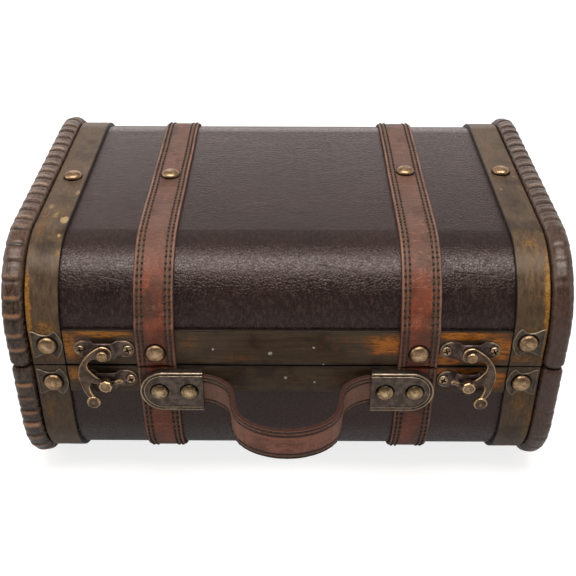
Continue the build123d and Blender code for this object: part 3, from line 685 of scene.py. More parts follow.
def makeBeads(material):
    form = beadForm
    halfWidth = form["width"] / 2
    for half, upper, place, total in halves(form["seamGap"]):
        for side, sign in sides():
            grooves = beadGrooves(upper, side, total)

            def at(run, n):
                turn = math.pi * n / form["sides"]
                outX = math.copysign(abs(math.cos(turn)) ** 0.9, -math.cos(turn))
                outUp = math.sin(turn) ** 0.72 if 0 < n < form["sides"] else 0
                shift = form["slant"] * (outUp - 0.5) * sign
                middle, depth, shown = min(grooves, key=lambda g: abs(g[0] + shift - run))
                gap = run - middle - shift
                groove = math.exp(-((gap / form["grooveWidth"]) ** 2)) * depth
                ridge = math.exp(-(((gap - form["ridgeShift"]) / form["ridgeWidth"]) ** 2)) * depth
                sink = (form["grooveDepth"] * groove - form["ridge"] * ridge) * (0.25 + 0.75 * outUp)
                sink += form["endRound"] * (1 - smooth(min(run, total - run), 0, form["endRound"])) * 0.45
                lump = noise.noise(Vector((run * 90, n * 0.6, 3.1 if upper else 8.2))) * form["lump"]
                rise = (caseForm["beadRise"] - sink + lump - form["seat"]) * outUp
                reach = outX * max(halfWidth - sink, halfWidth * 0.6)
                point = place(sign * (caseForm["halfLength"] - halfWidth) + reach, run, rise)
                lay = (run + sign * 0.4 + (1 if upper else 2), outX * form["width"], 0)
                # the ridge mark gives the crests their rust and, on the top, a painted highlight; the groove mark
                # gives a painted shade in the grooves
                return point, lay, ridge * smooth(outUp, 0.5, 0.95) * shown, groove * outUp

            node = half + "_" + side + "_bead"
            shape = lofted(steps(0, total, form["step"]), range(form["sides"] + 1), at)
            shape.piece(node + "_ribs", half, material, node, "bead_leather", 60)


makeBeads(beadMaterial())
print("beads")

# wooden bands and rails
bandForm = {
    "low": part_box("lid_right_band")[0].x,
    "high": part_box("lid_right_band")[1].x,
    "edge": 0.55 * mm,
    "step": 1.4 * mm,
    "wobble": 0.1 * mm,
    "shares": (0.05, 0.09, 0.16, 0.24, 0.34, 0.44, 0.54, 0.64, 0.72, 0.8, 0.87, 0.92),
}
railForm = {
    "reach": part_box("lid_front_rail")[1].x,
    "lidHeight": 22.5 * mm,
    "baseHeight": 18.0 * mm,
    "edge": 0.5 * mm,
    "step": 2.5 * mm,
    # places and sizes of pale chips in the stain, in mm
    "chips": (
        ((-39.9, -88.4, 96.7), 0.55), ((-9.2, -88.4, 94.2), 0.95), ((14.2, -88.4, 98.2), 0.55),
        ((-0.9, -88.4, 77.4), 0.7), ((15.0, -88.4, 74.4), 0.4), ((19.5, -88.4, 86.6), 0.45),
    ),
}

# worn places on the front: along from the seam, across from the middle, half lengths and strength, in mm
bandWear = {
    ("lid", "left"): {
        "worn": (
            (30, 137, 34, 3.2, 1.15), (22, 128, 8, 9, 0.75), (4, 126, 3, 10, 0.55), (90, 134, 22, 4, 0.5),
            (98, 127, 16, 9, 0.35), (120, 122, 8, 4, 0.4), (63, 121.5, 3, 2, 0.8), (72, 122.5, 4, 2.5, 0.5),
        ),
        "pale": (
            (89, 122.6, 5.5, 3.2, 1.1), (104, 133, 5, 3, 0.7), (94, 129, 7, 4, 0.6), (121, 121.5, 6, 2.6, 0.75),
            (74, 122.6, 2.2, 1.8, 1.0), (124, 131, 3, 2, 0.55),
        ),
        "sunk": ((66, 128, 9, 9, 0.5), (50, 128, 12, 8, 0.3), (110, 130, 4, 5, 0.3)),
    },
    ("lid", "right"): {
        "worn": (
            (34, 137, 42, 3.4, 1.1), (60, 129, 28, 8, 0.42), (80, 137, 20, 2.4, 0.35), (22, 127, 7, 9, 0.6),
            (5, 127, 4, 10, 0.7), (180, 126, 30, 6, 0.3),
        ),
        "pale": ((127.5, 123.8, 1.6, 1.0, 1.2), (144, 135, 2, 1.4, 0.8), (45, 136, 10, 2.5, 0.6)),
        "sunk": ((112, 128, 34, 12, 0.45), (88, 122, 12, 5, 0.45), (160, 128, 40, 9, 0.3)),
    },
    ("base", "left"): {
        "worn": ((30, 133, 18, 4, 0.5), (62, 130, 20, 7, 0.3)),
        "sunk": ((6, 128, 5, 10, 0.3),),
    },
    ("base", "right"): {
        "worn": ((23, 130, 14, 8, 0.5), (40, 136, 20, 3, 0.6)),
        "sunk": ((55, 126, 14, 6, 0.3),),
    },
}
railWear = {
    "lid": {
        "worn": (
            (13, -117, 12, 6, 1.0), (20.5, -98, 3.5, 22, 1.05), (5, -112, 5, 8, 0.6), (14, 54, 9, 18, 0.95),
            (20, 92, 4, 26, 1.15), (12, 114, 13, 9, 1.15), (4, 86, 6, 16, 0.95), (4, 108, 5, 10, 0.8),
            (5, -30, 4, 24, 0.35), (14, 26, 9, 20, 0.35), (14, -52, 8, 8, 0.35),
        ),
        "sunk": ((14, -20, 6, 10, 0.25), (10, 4, 6, 8, 0.2)),
    },
    "base": {
        "worn": (
            (6, -116, 8, 5, 0.9), (9, 114, 9, 8, 0.9), (3, 98, 4, 16, 0.75), (4, 84, 5, 6, 0.8),
            (8, 10, 6, 40, 0.32),
        ),
        "sunk": ((12, -30, 5, 14, 0.3),),
    },
}


def wearAt(wear, kind, run, across):
    # how strongly the listed places mark this point
    found = 0
    for along, side, halfAlong, halfSide, strength in wear.get(kind, ()):
        away = math.hypot((run / mm - along) / halfAlong, (across / mm - side) / halfSide)
        found = max(found, strength * (1 - smooth(away, 0.25, 1.25)))
    return found


def sunkAt(wear, run, across, edge):
    # the dark joint at the edge, and the listed places
    return max(1 - smooth(edge, 0.1 * mm, 0.8 * mm), wearAt(wear, "sunk", run, across))


def makeBands(material):
    form = bandForm
    low, high, top = form["low"], form["high"], caseForm["woodRise"]
    inner = [(low + (high - low) * share, top) for share in form["shares"]]
    section = slabSection(low, high, top, form["edge"], inner)
    for half, _, place, total in halves():
        for side, sign in sides():
            wear = bandWear[half, side]

            def at(run, corner):
                x, rise = corner
                worn = max(wearAt(wear, "worn", run, x), 0.25 * smooth((x - low) / (high - low), 0.7, 0.95))
                sunk = sunkAt(wear, run, x, min(x - low, high - x))
                wave = noise.noise(Vector((run * 60, x * 300, sign))) * form["wobble"] if rise > 1 * mm else 0
                lay = (run, x, rise + sign * 0.1)
                return place(sign * x, run, rise + wave), lay, worn, sunk, wearAt(wear, "pale", run, x)

            node = half + "_" + side + "_band"
            shape = lofted(steps(0, total, form["step"]), section, at)
            shape.piece(node + "_wood", half, material, node, "stained_wood")


def makeRails(material):
    form = railForm
    reach, edge, top = form["reach"], form["edge"], caseForm["woodRise"]
    stations = [-reach, edge - reach, *steps(-reach, reach, form["step"])[1:-1], reach - edge, reach]
    for half, _, place, total in halves():
        height = form[half + "Height"]
        for face, start in (("front", 0), ("back", total - height)):
            wear = railWear[half] if face == "front" else {}
            inner = [(start + edge + (height - 2 * edge) * n / 12, top) for n in range(1, 12)]
            section = slabSection(start, start + height, top, edge, inner)
            section += [(run, 0) for run, rise in reversed(inner)]

            def at(x, corner):
                run, rise = corner
                drop = edge * 0.6 if reach - abs(x) < edge / 2 and rise > 1 * mm else 0
                sunk = sunkAt(wear, run, x, min(run - start, start + height - run))
                return place(x, run, rise - drop), (x, run, rise), wearAt(wear, "worn", run, x), sunk

            node = half + "_" + face + "_rail"
            lofted(stations, section, at).piece(node + "_wood", half, material, node, "stained_wood")


makeBands(woodMaterial("band"))
makeRails(woodMaterial("rail", railForm["chips"]))
print("bands and rails")

# leather straps
strapLow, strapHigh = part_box("lid_right_strap")
strapForm = {
    "middle": (strapLow.x + strapHigh.x) / 2,
    "halfWidth": (strapHigh.x - strapLow.x) / 2,
    "thickness": 2.0 * mm,
    "edge": 0.7 * mm,
    "crown": 0.12 * mm,
    "sway": 0.25 * mm,
    "rampStart": 1.0 * mm,
    "ramp": 7.0 * mm,
    # the lid's front end is cut to a hollow curve
    "endHollow": 1.8 * mm,
    "endReach": 8.0 * mm,
    "rowOuter": 8.6 * mm,
    "rowInner": 6.2 * mm,
    "rowDepth": 0.22 * mm,
    "rowWidth": 0.55 * mm,
    "stitchStart": 2.6 * mm,
    "stitchPitch": 3.4 * mm,
    "stitchLength": 1.8 * mm,
    "stitchRadius": 0.68 * mm,
    "stitchTilt": 0.12 * mm,
    "step": 1.6 * mm,
}
# how far along a stitch, how deep under the leather and how thick, in its own lengths and radii
stitchProfile = ((0, 1.3, 0.5), (0.12, 0.2, 0.95), (0.5, -0.25, 1.0), (0.88, 0.2, 0.95), (1, 1.3, 0.5))
stitchSides = 6


def strapSection(form):
    half, crown, width = form["halfWidth"], form["crown"], form["rowWidth"]
    rows = (form["rowOuter"], form["rowInner"])
    across = {half - form["edge"] - 0.1 * mm, 7.4 * mm, 4.6 * mm, 2.4 * mm, 0.0}
    across = sorted(across | {row + shift * width for row in rows for shift in (-1, -0.5, 0, 0.5, 1)})

    def height(x):
        sink = sum(math.exp(-(((abs(x) - row) / (width * 0.6)) ** 2)) for row in rows)
        return form["thickness"] - crown * (x / half) ** 2 - form["rowDepth"] * sink

    inner = [(x, height(x)) for x in [-x for x in reversed(across)] + across[1:]]
    return slabSection(-half, half, form["thickness"] - crown, form["edge"], inner)


def stitch(shape, start, end, out, radius):
    # a short thread whose ends dip into their holes
    along = end - start
    side = along.cross(out).normalized()

    def at(station, n):
        t, dip, thick = station
        turn = math.tau * n / stitchSides
        around = side * math.cos(turn) + out * math.sin(turn)
        point = start + along * t + (around * thick - out * dip) * radius
        return point, (t * along.length, n * 0.3 * mm, 0)

    shape.loft(shape.rings(stitchProfile, range(stitchSides), at))


def makeStraps(leather, thread):
    form = strapForm
    section = strapSection(form)
    for half, upper, place, total in halves():
        rail = railForm[half + "Height"] + form["rampStart"]
        for side, sign in sides():

            def swayAt(run):
                return noise.noise(Vector((run * 25, sign * 4, 2 if upper else 5))) * form["sway"]

            def onStrap(x, run, rise, shift):
                # the strap stands on the rails and comes down on the covering past them
                over = 1 - smooth(min(run, total - run), rail, rail + form["ramp"])
                hollow = form["endHollow"] * max(0, 1 - (x / form["halfWidth"]) ** 2) if upper else 0
                cut = hollow * max(0, 1 - run / form["endReach"])
                return place(sign * form["middle"] + x + shift, run + cut, caseForm["woodRise"] * over + rise)

            def at(run, corner):
                x, rise = corner
                return onStrap(x, run, rise, swayAt(run)), (run + sign * 0.3 + (1 if upper else 2), x, rise)

            node = half + "_" + side + "_strap"
            shape = lofted(steps(0, total, form["step"]), section, at)
            shape.piece(node + "_leather", half, leather, node, "strap_leather", 50)

            sewn = Form()
            dice = random.Random(3)
            top = form["thickness"] - form["crown"] - form["rowDepth"] * 0.4
            for x in (-form["rowInner"], form["rowInner"], -form["rowOuter"], form["rowOuter"]):
                for n in range(int((total - 4 * mm) / form["stitchPitch"])):
                    low = form["stitchStart"] + n * form["stitchPitch"] + dice.uniform(-0.3, 0.3) * mm
                    high = low + form["stitchLength"] * dice.uniform(0.85, 1.1)
                    tilt = dice.uniform(-0.18, 0.18) * mm + form["stitchTilt"]
                    one = onStrap(x, low, top, swayAt(low) - tilt)
                    two = onStrap(x, high, top, swayAt(low) + tilt)
                    out = (place(0, low, 1.0) - place(0, low, 0.0)).normalized()
                    stitch(sewn, one, two, out, form["stitchRadius"] * dice.uniform(0.85, 1.15))
            sewn.piece(node + "_stitches", half, thread, None, "strap_leather", 80)


thread = threadMaterial()
makeStraps(strapMaterial("strapLeather", strapForm, strapLook), thread)
print("straps")

# domed nails and rivets; a profile gives shares of the radius and of the height
nailForm = {
    "radius": 5.4 * mm,
    "height": 3.1 * mm,
    "dent": 0.1 * mm,
    # how far down the dome is painted in shade
    "rim": 0.7,
    "turns": 32,
    "profile": (
        (1.08, 0.0), (1.08, 0.03), (1.0, 0.05), (1.0, 0.14), (0.985, 0.25), (0.94, 0.42), (0.86, 0.6),
        (0.74, 0.76), (0.58, 0.88), (0.4, 0.955), (0.2, 0.99), (0.08, 1.0),
    ),
    "worn": lambda share, lift: 0.5 * (1 - share) + (0.2 if lift > 0.5 else -0.3),
    # how far the top nails sit before or behind the middle, on the band and on the strap
    "topShifts": {"left": (-6.5 * mm, -3.4 * mm), "right": (2.2 * mm, 2.0 * mm)},
    "lidStrapRise": 10.0 * mm,
    "baseStrapRise": -12.0 * mm,
}
rivetForm = {
    "radius": 5.0 * mm,
    "height": 2.4 * mm,
    "dent": 0.16 * mm,
    # how far down the dome is painted in shade
    "rim": 0.95,
    "turns": 32,
    "profile": (
        (1.06, 0.0), (1.06, 0.03), (1.0, 0.05), (1.0, 0.16), (0.97, 0.3), (0.88, 0.52), (0.74, 0.74),
        (0.56, 0.88), (0.36, 0.96), (0.16, 1.0),
    ),
    # brightest down the middle: a painted highlight on the dome
    "worn": lambda share, lift: 1.15 * (1 - share) - 0.1,
}
# the corner plates; the right lid plate sits a little higher in the photograph, with its nail
cornerForm = {
    "width": 16.6 * mm,
    "height": 17.8 * mm,
    "thickness": 0.7 * mm,
    "outer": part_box("lid_right_corner_plate")[1].x,
    "rises": {
        "lid": {"left": 13.8 * mm, "right": 16.5 * mm, "back": 14.2 * mm},
        "base": {"left": -11.2 * mm, "right": -10.5 * mm, "back": -11.2 * mm},
    },
    # shares of the width and the height, from the outer end to the tip
    "shares": (
        (0.0, 0.98), (0.08, 0.965), (0.16, 0.90), (0.25, 0.79), (0.34, 0.72), (0.43, 0.69), (0.52, 0.695),
        (0.58, 0.74), (0.64, 0.82), (0.695, 0.94), (0.75, 1.0), (0.81, 0.93), (0.87, 0.78), (0.92, 0.60),
        (0.96, 0.42), (0.99, 0.2), (1.0, 0.0),
    ),
    # inset, lift, worn and sunk; the worn bevel is partly rubbed, partly a painted highlight, and the sunk foot is
    # a painted shade
    "layers": (
        (0, 0, 0.2, 0.6), (0, 0.45 * mm, 0.9, 0), (0.15 * mm, 0.65 * mm, 1, 0), (0.4 * mm, 0.7 * mm, 0.9, 0),
        (0.9 * mm, 0.62 * mm, 0.12, 0), (1.6 * mm, 0.62 * mm, 0.0, 0),
    ),
}


def turned(shape, centre, out, form, seed=0.0):
    # a turned head; out is the way that it looks
    side = Vector((1, 0, 0))
    over = out.cross(side)

    def at(station, n):
        share, lift = station
        turn = math.tau * n / form["turns"]
        flat = side * math.cos(turn) + over * math.sin(turn)
        knock = noise.noise(flat * share * 1.8 + Vector((seed, seed * 1.7, lift * 2))) if lift > 0.3 else 0
        rise = form["height"] * lift + knock * form.get("dent", 0.0)
        point = centre + flat * form["radius"] * share + out * rise
        # painted shadow: near black on the flange, and painted shade down the lower dome as far as the form's rim
        # says
        sunk = 1.0 if lift < 0.06 else form.get("rim", 0.0) * (1 - smooth(lift, 0.15, 0.95))
        return point, (share, turn, lift), form["worn"](share, lift), sunk

    rings = shape.rings(form["profile"], range(form["turns"]), at)
    tip = shape.add(centre + out * form["height"], (0, 0, 1), form["worn"](0, 1))
    last = rings[-1]
    shape.loft(rings, [(last[n - 1], last[n], tip) for n in range(len(last))])


def nailSpots():
    # the middle and the outward way of each nail, in the order of the nodes
    wood, leather = caseForm["woodRise"], caseForm["strapRise"]
    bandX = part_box("lid_band_nails")[1].x - nailForm["radius"]

    def onTop(x, shift, lift):
        top = caseForm["height"] - caseForm["beadRise"]
        return Vector((x, caseForm["middleY"] + shift, top + lift)), up

    def onWall(x, out, lift, rise):
        depth = out.y * (caseForm["faceDepth"] + lift)
        return Vector((x, caseForm["middleY"] + depth, caseForm["seam"] + rise)), out

    spots = {"lid_band_nails": [], "lid_strap_nails": [], "base_band_nails": [], "base_strap_nails": []}
    for side, sign in sides():
        band, strap = sign * bandX, sign * strapForm["middle"]
        bandShift, strapShift = nailForm["topShifts"][side]
        spots["lid_band_nails"].append(onTop(band, bandShift, wood))
        for half, rises in cornerForm["rises"].items():
            spots[half + "_band_nails"] += [
                onWall(band, front, wood + cornerForm["thickness"], rises[side]),
                onWall(band, back, wood, rises["back"]),
            ]
        spots["lid_strap_nails"] += [
            onTop(strap, strapShift, strapForm["thickness"]),
            onWall(strap, front, leather, nailForm["lidStrapRise"]),
            onWall(strap, back, leather, nailForm["lidStrapRise"]),
        ]
        spots["base_strap_nails"].append(onWall(strap, back, leather, nailForm["baseStrapRise"]))
    return spots


def makeNails(material):
    seed = 0
    for node, spots in nailSpots().items():
        for number, (centre, out) in enumerate(spots, 1):
            seed += 1
            shape = Form()
            turned(shape, centre, out, nailForm, seed * 3.3)
            shape.piece(node[:-1] + "_" + str(number), node.split("_")[0], material, node, "nail_brass")


brass = metalMaterial("brass")
makeNails(brass)
print("nails")


def insetLoop(loop, inset):
    area = sum(a[0] * b[1] - b[0] * a[1] for a, b in zip(loop, loop[1:] + loop[:1]))
    turn = 1 if area > 0 else -1
    moved = []
    for n, point in enumerate(loop):
        here = Vector(point)
        before, after = Vector(loop[n - 1]), Vector(loop[(n + 1) % len(loop)])
        way = ((here - before).normalized() + (after - here).normalized()).normalized()
        moved.append(here + Vector((-way.y, way.x)) * turn * inset)
    return moved


def makePlate(profile, layers, seat, bend=lambda x: 0, rub=lambda x: 1):
    # the profile is mirrored; seat turns x, z and the lift into a place; rub says how far the rim is worn
    loop = list(profile) + [(x, -h) for x, h in reversed(profile)]
    loop = [p for n, p in enumerate(loop) if (Vector(p) - Vector(loop[n - 1])).length > 1e-7]
    shape = Form()
    rings = []
    for inset, lift, worn, sunk in layers:
        ring = []
        for x, z in insetLoop(loop, inset):
            ring.append(shape.add(seat(x, z, lift + bend(x)), (x, z, 0), worn * rub(x), sunk))
        rings.append(ring)
    shape.loft(rings, rungs(rings[-1]))
    return shape


def makeCorners(material):
    form = cornerForm
    profile = [(u * form["width"], v * form["height"] / 2) for u, v in form["shares"]]
    for half, rises in form["rises"].items():
        for side, sign in sides():

            def seat(x, z, lift):
                height = caseForm["seam"] + rises[side] + z
                return Vector((sign * (form["outer"] - x), caseForm["woodFace"] - lift, height))

            node = half + "_" + side + "_corner_plate"
            makePlate(profile, form["layers"], seat).piece(node + "_metal", half, material, node, "aged_bronze")


makeCorners(metalMaterial("plate"))
print("corner plates")

# latches
latchForm = {
    "middle": 98.0 * mm,
    "length": 32.8 * mm,
    "height": 10.8 * mm,
    "thickness": 1.2 * mm,
    "bridgeHalf": 4.7 * mm,
    "bridgeSlope": 2.4 * mm,
    "hookGap": 0.5 * mm,
    "hookBack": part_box("left_hook")[1].y,
    # the plates and how far they stand over or under the seam
    "plates": {"lid": ("hook_plate", 11.4 * mm), "base": ("catch_plate", -8.3 * mm)},
    # inset, lift, worn and sunk; the worn bevel is partly rubbed, partly a painted highlight, and the sunk foot is
    # a painted shade
    "layers": (
        (0, 0, 0.0, 0.5), (0, 0.6 * mm, 0.3, 0), (0.14 * mm, 0.88 * mm, 0.9, 0), (0.45 * mm, 1.1 * mm, 1.0, 0),
        (0.85 * mm, 1.2 * mm, 0.35, 0), (1.3 * mm, 1.2 * mm, 0.0, 0),
    ),
}
# the outline is drawn for the left hook, in lengths from the stud to the post, with the stud in its origin
hookForm = {
    "unit": latchForm["plates"]["lid"][1] - latchForm["plates"]["base"][1],
    "eyeRadius": 5.0 * mm,
    "eyeTurns": (-2.48, 1.77),
    "eyeSteps": 16,
    "prongHalf": 1.2 * mm,
    "prongFlare": 0.15,
    "prongStart": -0.37,
    "prongTip": 0.43,
    "prongSteps": 12,
    "webEnd": -0.1,
    "knob": (-0.413, -1.643),
    "outer": (
        (-0.05, 0.25), (-0.12, 0.218), (-0.19, 0.175), (-0.27, 0.117), (-0.35, 0.050), (-0.425, -0.02),
        (-0.495, -0.098), (-0.56, -0.187), (-0.615, -0.28), (-0.66, -0.365), (-0.695, -0.455), (-0.72, -0.54),
        (-0.735, -0.63), (-0.74, -0.71), (-0.738, -0.79), (-0.728, -0.87), (-0.715, -0.95), (-0.70, -1.04),
        (-0.685, -1.12), (-0.667, -1.21), (-0.645, -1.30), (-0.603, -1.39), (-0.555, -1.48), (-0.47, -1.60),
    ),
    "tail": (
        (-0.32, -1.57), (-0.36, -1.48), (-0.40, -1.40), (-0.432, -1.32), (-0.457, -1.23), (-0.468, -1.14),
        (-0.463, -1.07), (-0.435, -1.015),
    ),
    "belly": (
        (-0.16, -0.845), (-0.235, -0.785), (-0.305, -0.71), (-0.365, -0.63), (-0.415, -0.545), (-0.447, -0.46),
        (-0.455, -0.38), (-0.432, -0.30), (-0.39, -0.235), (-0.335, -0.19), (-0.27, -0.165),
    ),
    # inset, lift and worn; the worn bevel is partly rubbed, partly a painted highlight
    "layers": (
        (0.3 * mm, 0, 0.1), (0.0, 0.25 * mm, 0.2), (0.0, 0.9 * mm, 0.6), (0.08 * mm, 1.2 * mm, 1.0),
        (0.28 * mm, 1.48 * mm, 1.0), (0.55 * mm, 1.68 * mm, 0.6), (0.85 * mm, 1.78 * mm, 0.1),
        (1.05 * mm, 1.8 * mm, -0.1),
    ),
}


def knobRubAndGlint(share, lift):
    # a bright rim round a brown middle: partly rubbed, partly a painted highlight on the rim
    return (0.85 if lift > 0.3 else -0.2) if share > 0.8 else 0.15 + 0.5 * (1 - share) ** 2


knobForm = {
    "radius": 4.0 * mm,
    "height": 3.0 * mm,
    "turns": 28,
    "profile": ((0.8, 0.0), (0.97, 0.15), (1.0, 0.4), (0.97, 0.62), (0.85, 0.82), (0.62, 0.95), (0.3, 1.0)),
    "worn": knobRubAndGlint,
}
pivotLow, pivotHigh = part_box("left_hook_pivot")
studForm = {
    "radius": 3.1 * mm,
    "back": pivotHigh.y,
    "height": pivotHigh.y - pivotLow.y,
    "turns": 28,
    "sharp": 38,
    "profile": (
        (0.58, 0.0), (0.6, 0.6), (0.97, 0.62), (1.0, 0.7), (1.0, 0.82), (0.9, 0.93), (0.72, 0.99), (0.4, 1.0),
    ),
    "worn": lambda share, lift: 0.15 + 0.5 * (share > 0.8),
}
postLow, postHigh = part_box("left_catch_post")
head = 2.4 * mm / (postHigh.y - postLow.y)  # the share of its length that the post's head takes
postForm = {
    "radius": 3.75 * mm,
    "back": postHigh.y,
    "height": postHigh.y - postLow.y,
    "turns": 8,
    "sharp": 24,
    "profile": (
        (0.86, 0.0), (0.86, 1 - head), (0.9, 1 - head), (1.0, 1 - head * 0.85), (1.02, 1 - head * 0.3),
        (0.94, 1 - head * 0.08), (0.8, 1.0), (0.72, 1 - head * 0.04), (0.4, 1.0),
    ),
    "worn": lambda share, lift: 1.0 if 0.76 < share < 1.01 and lift > 0.8 else 0.62,
}


def hookOutline():
    # once round the eye, the bow, the tail and the prong
    form = hookForm
    half, eye = form["prongHalf"] / form["unit"], form["eyeRadius"] / form["unit"]
    start, tip = math.asin(form["prongStart"]), math.asin(form["prongTip"])
    turns = steps(start, tip, (tip - start) / form["prongSteps"])

    def prong(turn, side):
        grow = 1 + side * half * (1 + form["prongFlare"] * ((turn - start) / (tip - start)) ** 3)
        return grow * math.sin(turn), -grow * math.cos(turn)

    low, high = form["eyeTurns"]
    outline = [
        *form["outer"], *form["tail"], *(prong(turn, 1) for turn in turns),
        (math.sin(tip) + 0.045, -math.cos(tip) + 0.004),
        *(prong(turn, -1) for turn in reversed(turns) if turn >= form["webEnd"]), *form["belly"],
    ]
    for turn in steps(low, high, (high - low) / form["eyeSteps"])[:-1]:
        outline.append((eye * math.cos(turn), eye * math.sin(turn)))
    return [(x * form["unit"], z * form["unit"]) for x, z in outline]


def rubAt(x, down):
    # the tail is rubbed bright, the prong is dark up to its tip
    prong = smooth(x, -0.22, -0.12) * smooth(down, 0.7, 0.8)
    tip = smooth(x, 0.2, 0.3) * prong
    return 1 - 0.85 * prong * (1 - tip), 0.5 * smooth(down, 1.1, 1.4) * (1 - prong) + 0.6 * tip


def makeHooks(material):
    form = hookForm
    unit = form["unit"]
    stud = caseForm["seam"] + latchForm["plates"]["lid"][1]
    for side, sign in sides():

        def seat(x, z, lift):
            return Vector((sign * (latchForm["middle"] - x), latchForm["hookBack"] - lift, stud + z))

        shape = Form()
        rings = []
        for inset, lift, worn in form["layers"]:
            ring = []
            for x, z in insetLoop(hookOutline(), inset):
                part, more = rubAt(x / unit, -z / unit)
                ring.append(shape.add(seat(x, z, lift), (x, z, 0), worn * part + more))
            rings.append(ring)
        shape.loft(rings)
        turned(shape, seat(form["knob"][0] * unit, form["knob"][1] * unit, 0.1 * mm), front, knobForm)
        node = side + "_hook"
        shape.piece(node + "_metal", node, material, node, "aged_bronze", 32)


def makeLatchPlates(material):
    form = latchForm
    face = caseForm["woodFace"]
    raised = face - form["hookBack"] - form["hookGap"] - form["thickness"]
    radius = form["height"] / 2
    straight = form["length"] / 2 - radius
    inside, outside = form["bridgeHalf"], form["bridgeHalf"] + form["bridgeSlope"]
    quarter = [math.pi / 18 * n for n in range(10)]
    left = [(-straight - radius * math.cos(turn), radius * math.sin(turn)) for turn in quarter]
    left += [(shift * mm - crease, radius) for crease in (outside, inside) for shift in (-0.4, 0.4)]
    left.append((0, radius))
    profile = left + [(-x, h) for x, h in reversed(left[:-1])]

    def bend(x):
        return raised * (1 - smooth(abs(x), inside - 0.3 * mm, outside + 0.3 * mm))

    def rub(x):
        return 0.35 + 0.65 * smooth(abs(x), 7 * mm, 12 * mm)

    for half, (kind, rise) in form["plates"].items():
        for side, sign in sides():

            def seat(x, z, lift):
                return Vector((sign * form["middle"] + x, face - lift, caseForm["seam"] + rise + z))

            node = side + "_" + kind
            plate = makePlate(profile, form["layers"], seat, bend, rub)
            plate.piece(node + "_metal", half, material, node, "aged_bronze", 32)


def makeStuds(stud, post):
    # the hook's pivot stud, and the post whose head the prong runs behind
    kinds = (("lid", "_hook_pivot", "_stud", stud, studForm), ("base", "_catch_post", "_head", post, postForm))
    for side, sign in sides():
        for half, node, name, material, form in kinds:
            height = caseForm["seam"] + latchForm["plates"][half][1]
            shape = Form()
            turned(shape, Vector((sign * latchForm["middle"], form["back"], height)), front, form)
            shape.piece(side + node + name, half, material, side + node, "aged_bronze", form["sharp"])


# a screw with a cross-shaped recess
screwForm = {
    "radius": 2.8 * mm,
    "offset": 12.8 * mm,
    "height": 1.15 * mm,
    "crossHalf": 0.42 * mm,
    "crossReach": 1.75 * mm,
    "crossRound": 0.12 * mm,
    "crossDepth": 0.75 * mm,
    "turns": 48,
}


def makeScrew(centre, spin):
    form = screwForm
    high, deep = form["height"], form["crossDepth"]
    corner = math.atan2(form["crossHalf"], form["crossReach"])
    turns = [math.tau * n / form["turns"] for n in range(form["turns"])]
    turns += [math.pi / 2 * quarter + t for quarter in range(4) for t in (corner, -corner, math.pi / 4)]
    turns = sorted({round(turn % math.tau, 5) for turn in turns})

    def head(share):
        return lambda turn: form["radius"] * share

    def cross(grow=0.0, share=1.0):
        # how far the recess goes in a direction
        def reach(turn):
            over, along = sorted((abs(math.cos(turn)), abs(math.sin(turn))))
            found = (form["crossReach"] + grow) / along
            return share * (min(found, (form["crossHalf"] + grow) / over) if over > 1e-6 else found)

        return reach

    def at(station, turn):
        reach, lift, worn, sunk = station
        flat = Vector((math.cos(turn + spin), 0, math.sin(turn + spin)))
        return centre + flat * reach(turn) + front * lift, (0, 0, 0), worn, sunk

    # reach, lift, worn and sunk
    # the recess is painted in shade, and the head's rounded rim is partly rubbed, partly a painted highlight
    stations = (
        (head(1), 0, 0.0, 1.0), (head(1), high * 0.3, 0.6, 0.0), (head(0.94), high * 0.66, 0.8, 0.0),
        (head(0.82), high * 0.9, 0.5, 0.0), (cross(form["crossRound"]), high, 0.5, 0.0),
        (cross(), high - 0.06 * mm, 0.4, 0.1), (cross(), high - deep * 0.5, 0.0, 1.0),
        (cross(share=0.55), high - deep, 0.0, 1.0),
    )
    return lofted(stations, turns, at)


def makeScrews(material):
    y = caseForm["woodFace"] - latchForm["thickness"]
    dice = random.Random(5)
    for half, (kind, rise) in latchForm["plates"].items():
        places = [sign * latchForm["middle"] + way * screwForm["offset"] for _, sign in sides() for way in (-1, 1)]
        for number, x in enumerate(places, 1):
            shape = makeScrew(Vector((x, y, caseForm["seam"] + rise)), dice.uniform(-0.5, 0.5))
            name = kind + "_screw_" + str(number)
            shape.piece(name, half, material, kind + "_screws", "screw_brass", 40)


bronze, screwMetal, hookMetal = metalMaterial("bronze"), metalMaterial("screw"), metalMaterial("hook")
makeLatchPlates(bronze)
makeHooks(hookMetal)
makeStuds(brass, hookMetal)
makeScrews(screwMetal)
print("latches")

# handle
capLow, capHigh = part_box("handle_right_cap")
capForm = {
    "outer": capHigh.x,
    "mouth": capLow.x,
    "middleZ": (capLow.z + capHigh.z) / 2,
    "height": capHigh.z - capLow.z,
    "back": capHigh.y,
    "thickness": capHigh.y - capLow.y,
    "rivets": (10.6 * mm, 26.8 * mm),
    "rivetSeat": 0.83,
    # inset from the outline in mm, share of the thickness and wear, from the outside in; the wear on the lip is
    # partly rubbed, partly a painted highlight
    "section": (
        (0.0, 0.0, 0.0), (0.0, 0.72, 0.2), (0.08, 0.86, 0.6), (0.28, 0.95, 0.9), (0.62, 1.0, 1.0),
        (0.95, 0.96, 0.8), (1.2, 0.88, 0.3), (1.4, 0.81, 0.0), (1.8, 0.81, 0.0), (1.98, 0.87, 0.4),
        (2.22, 0.945, 0.9), (2.5, 0.945, 0.8), (2.75, 0.88, 0.2), (3.0, 0.84, 0.0), (4.2, 0.835, 0.0),
    ),
}
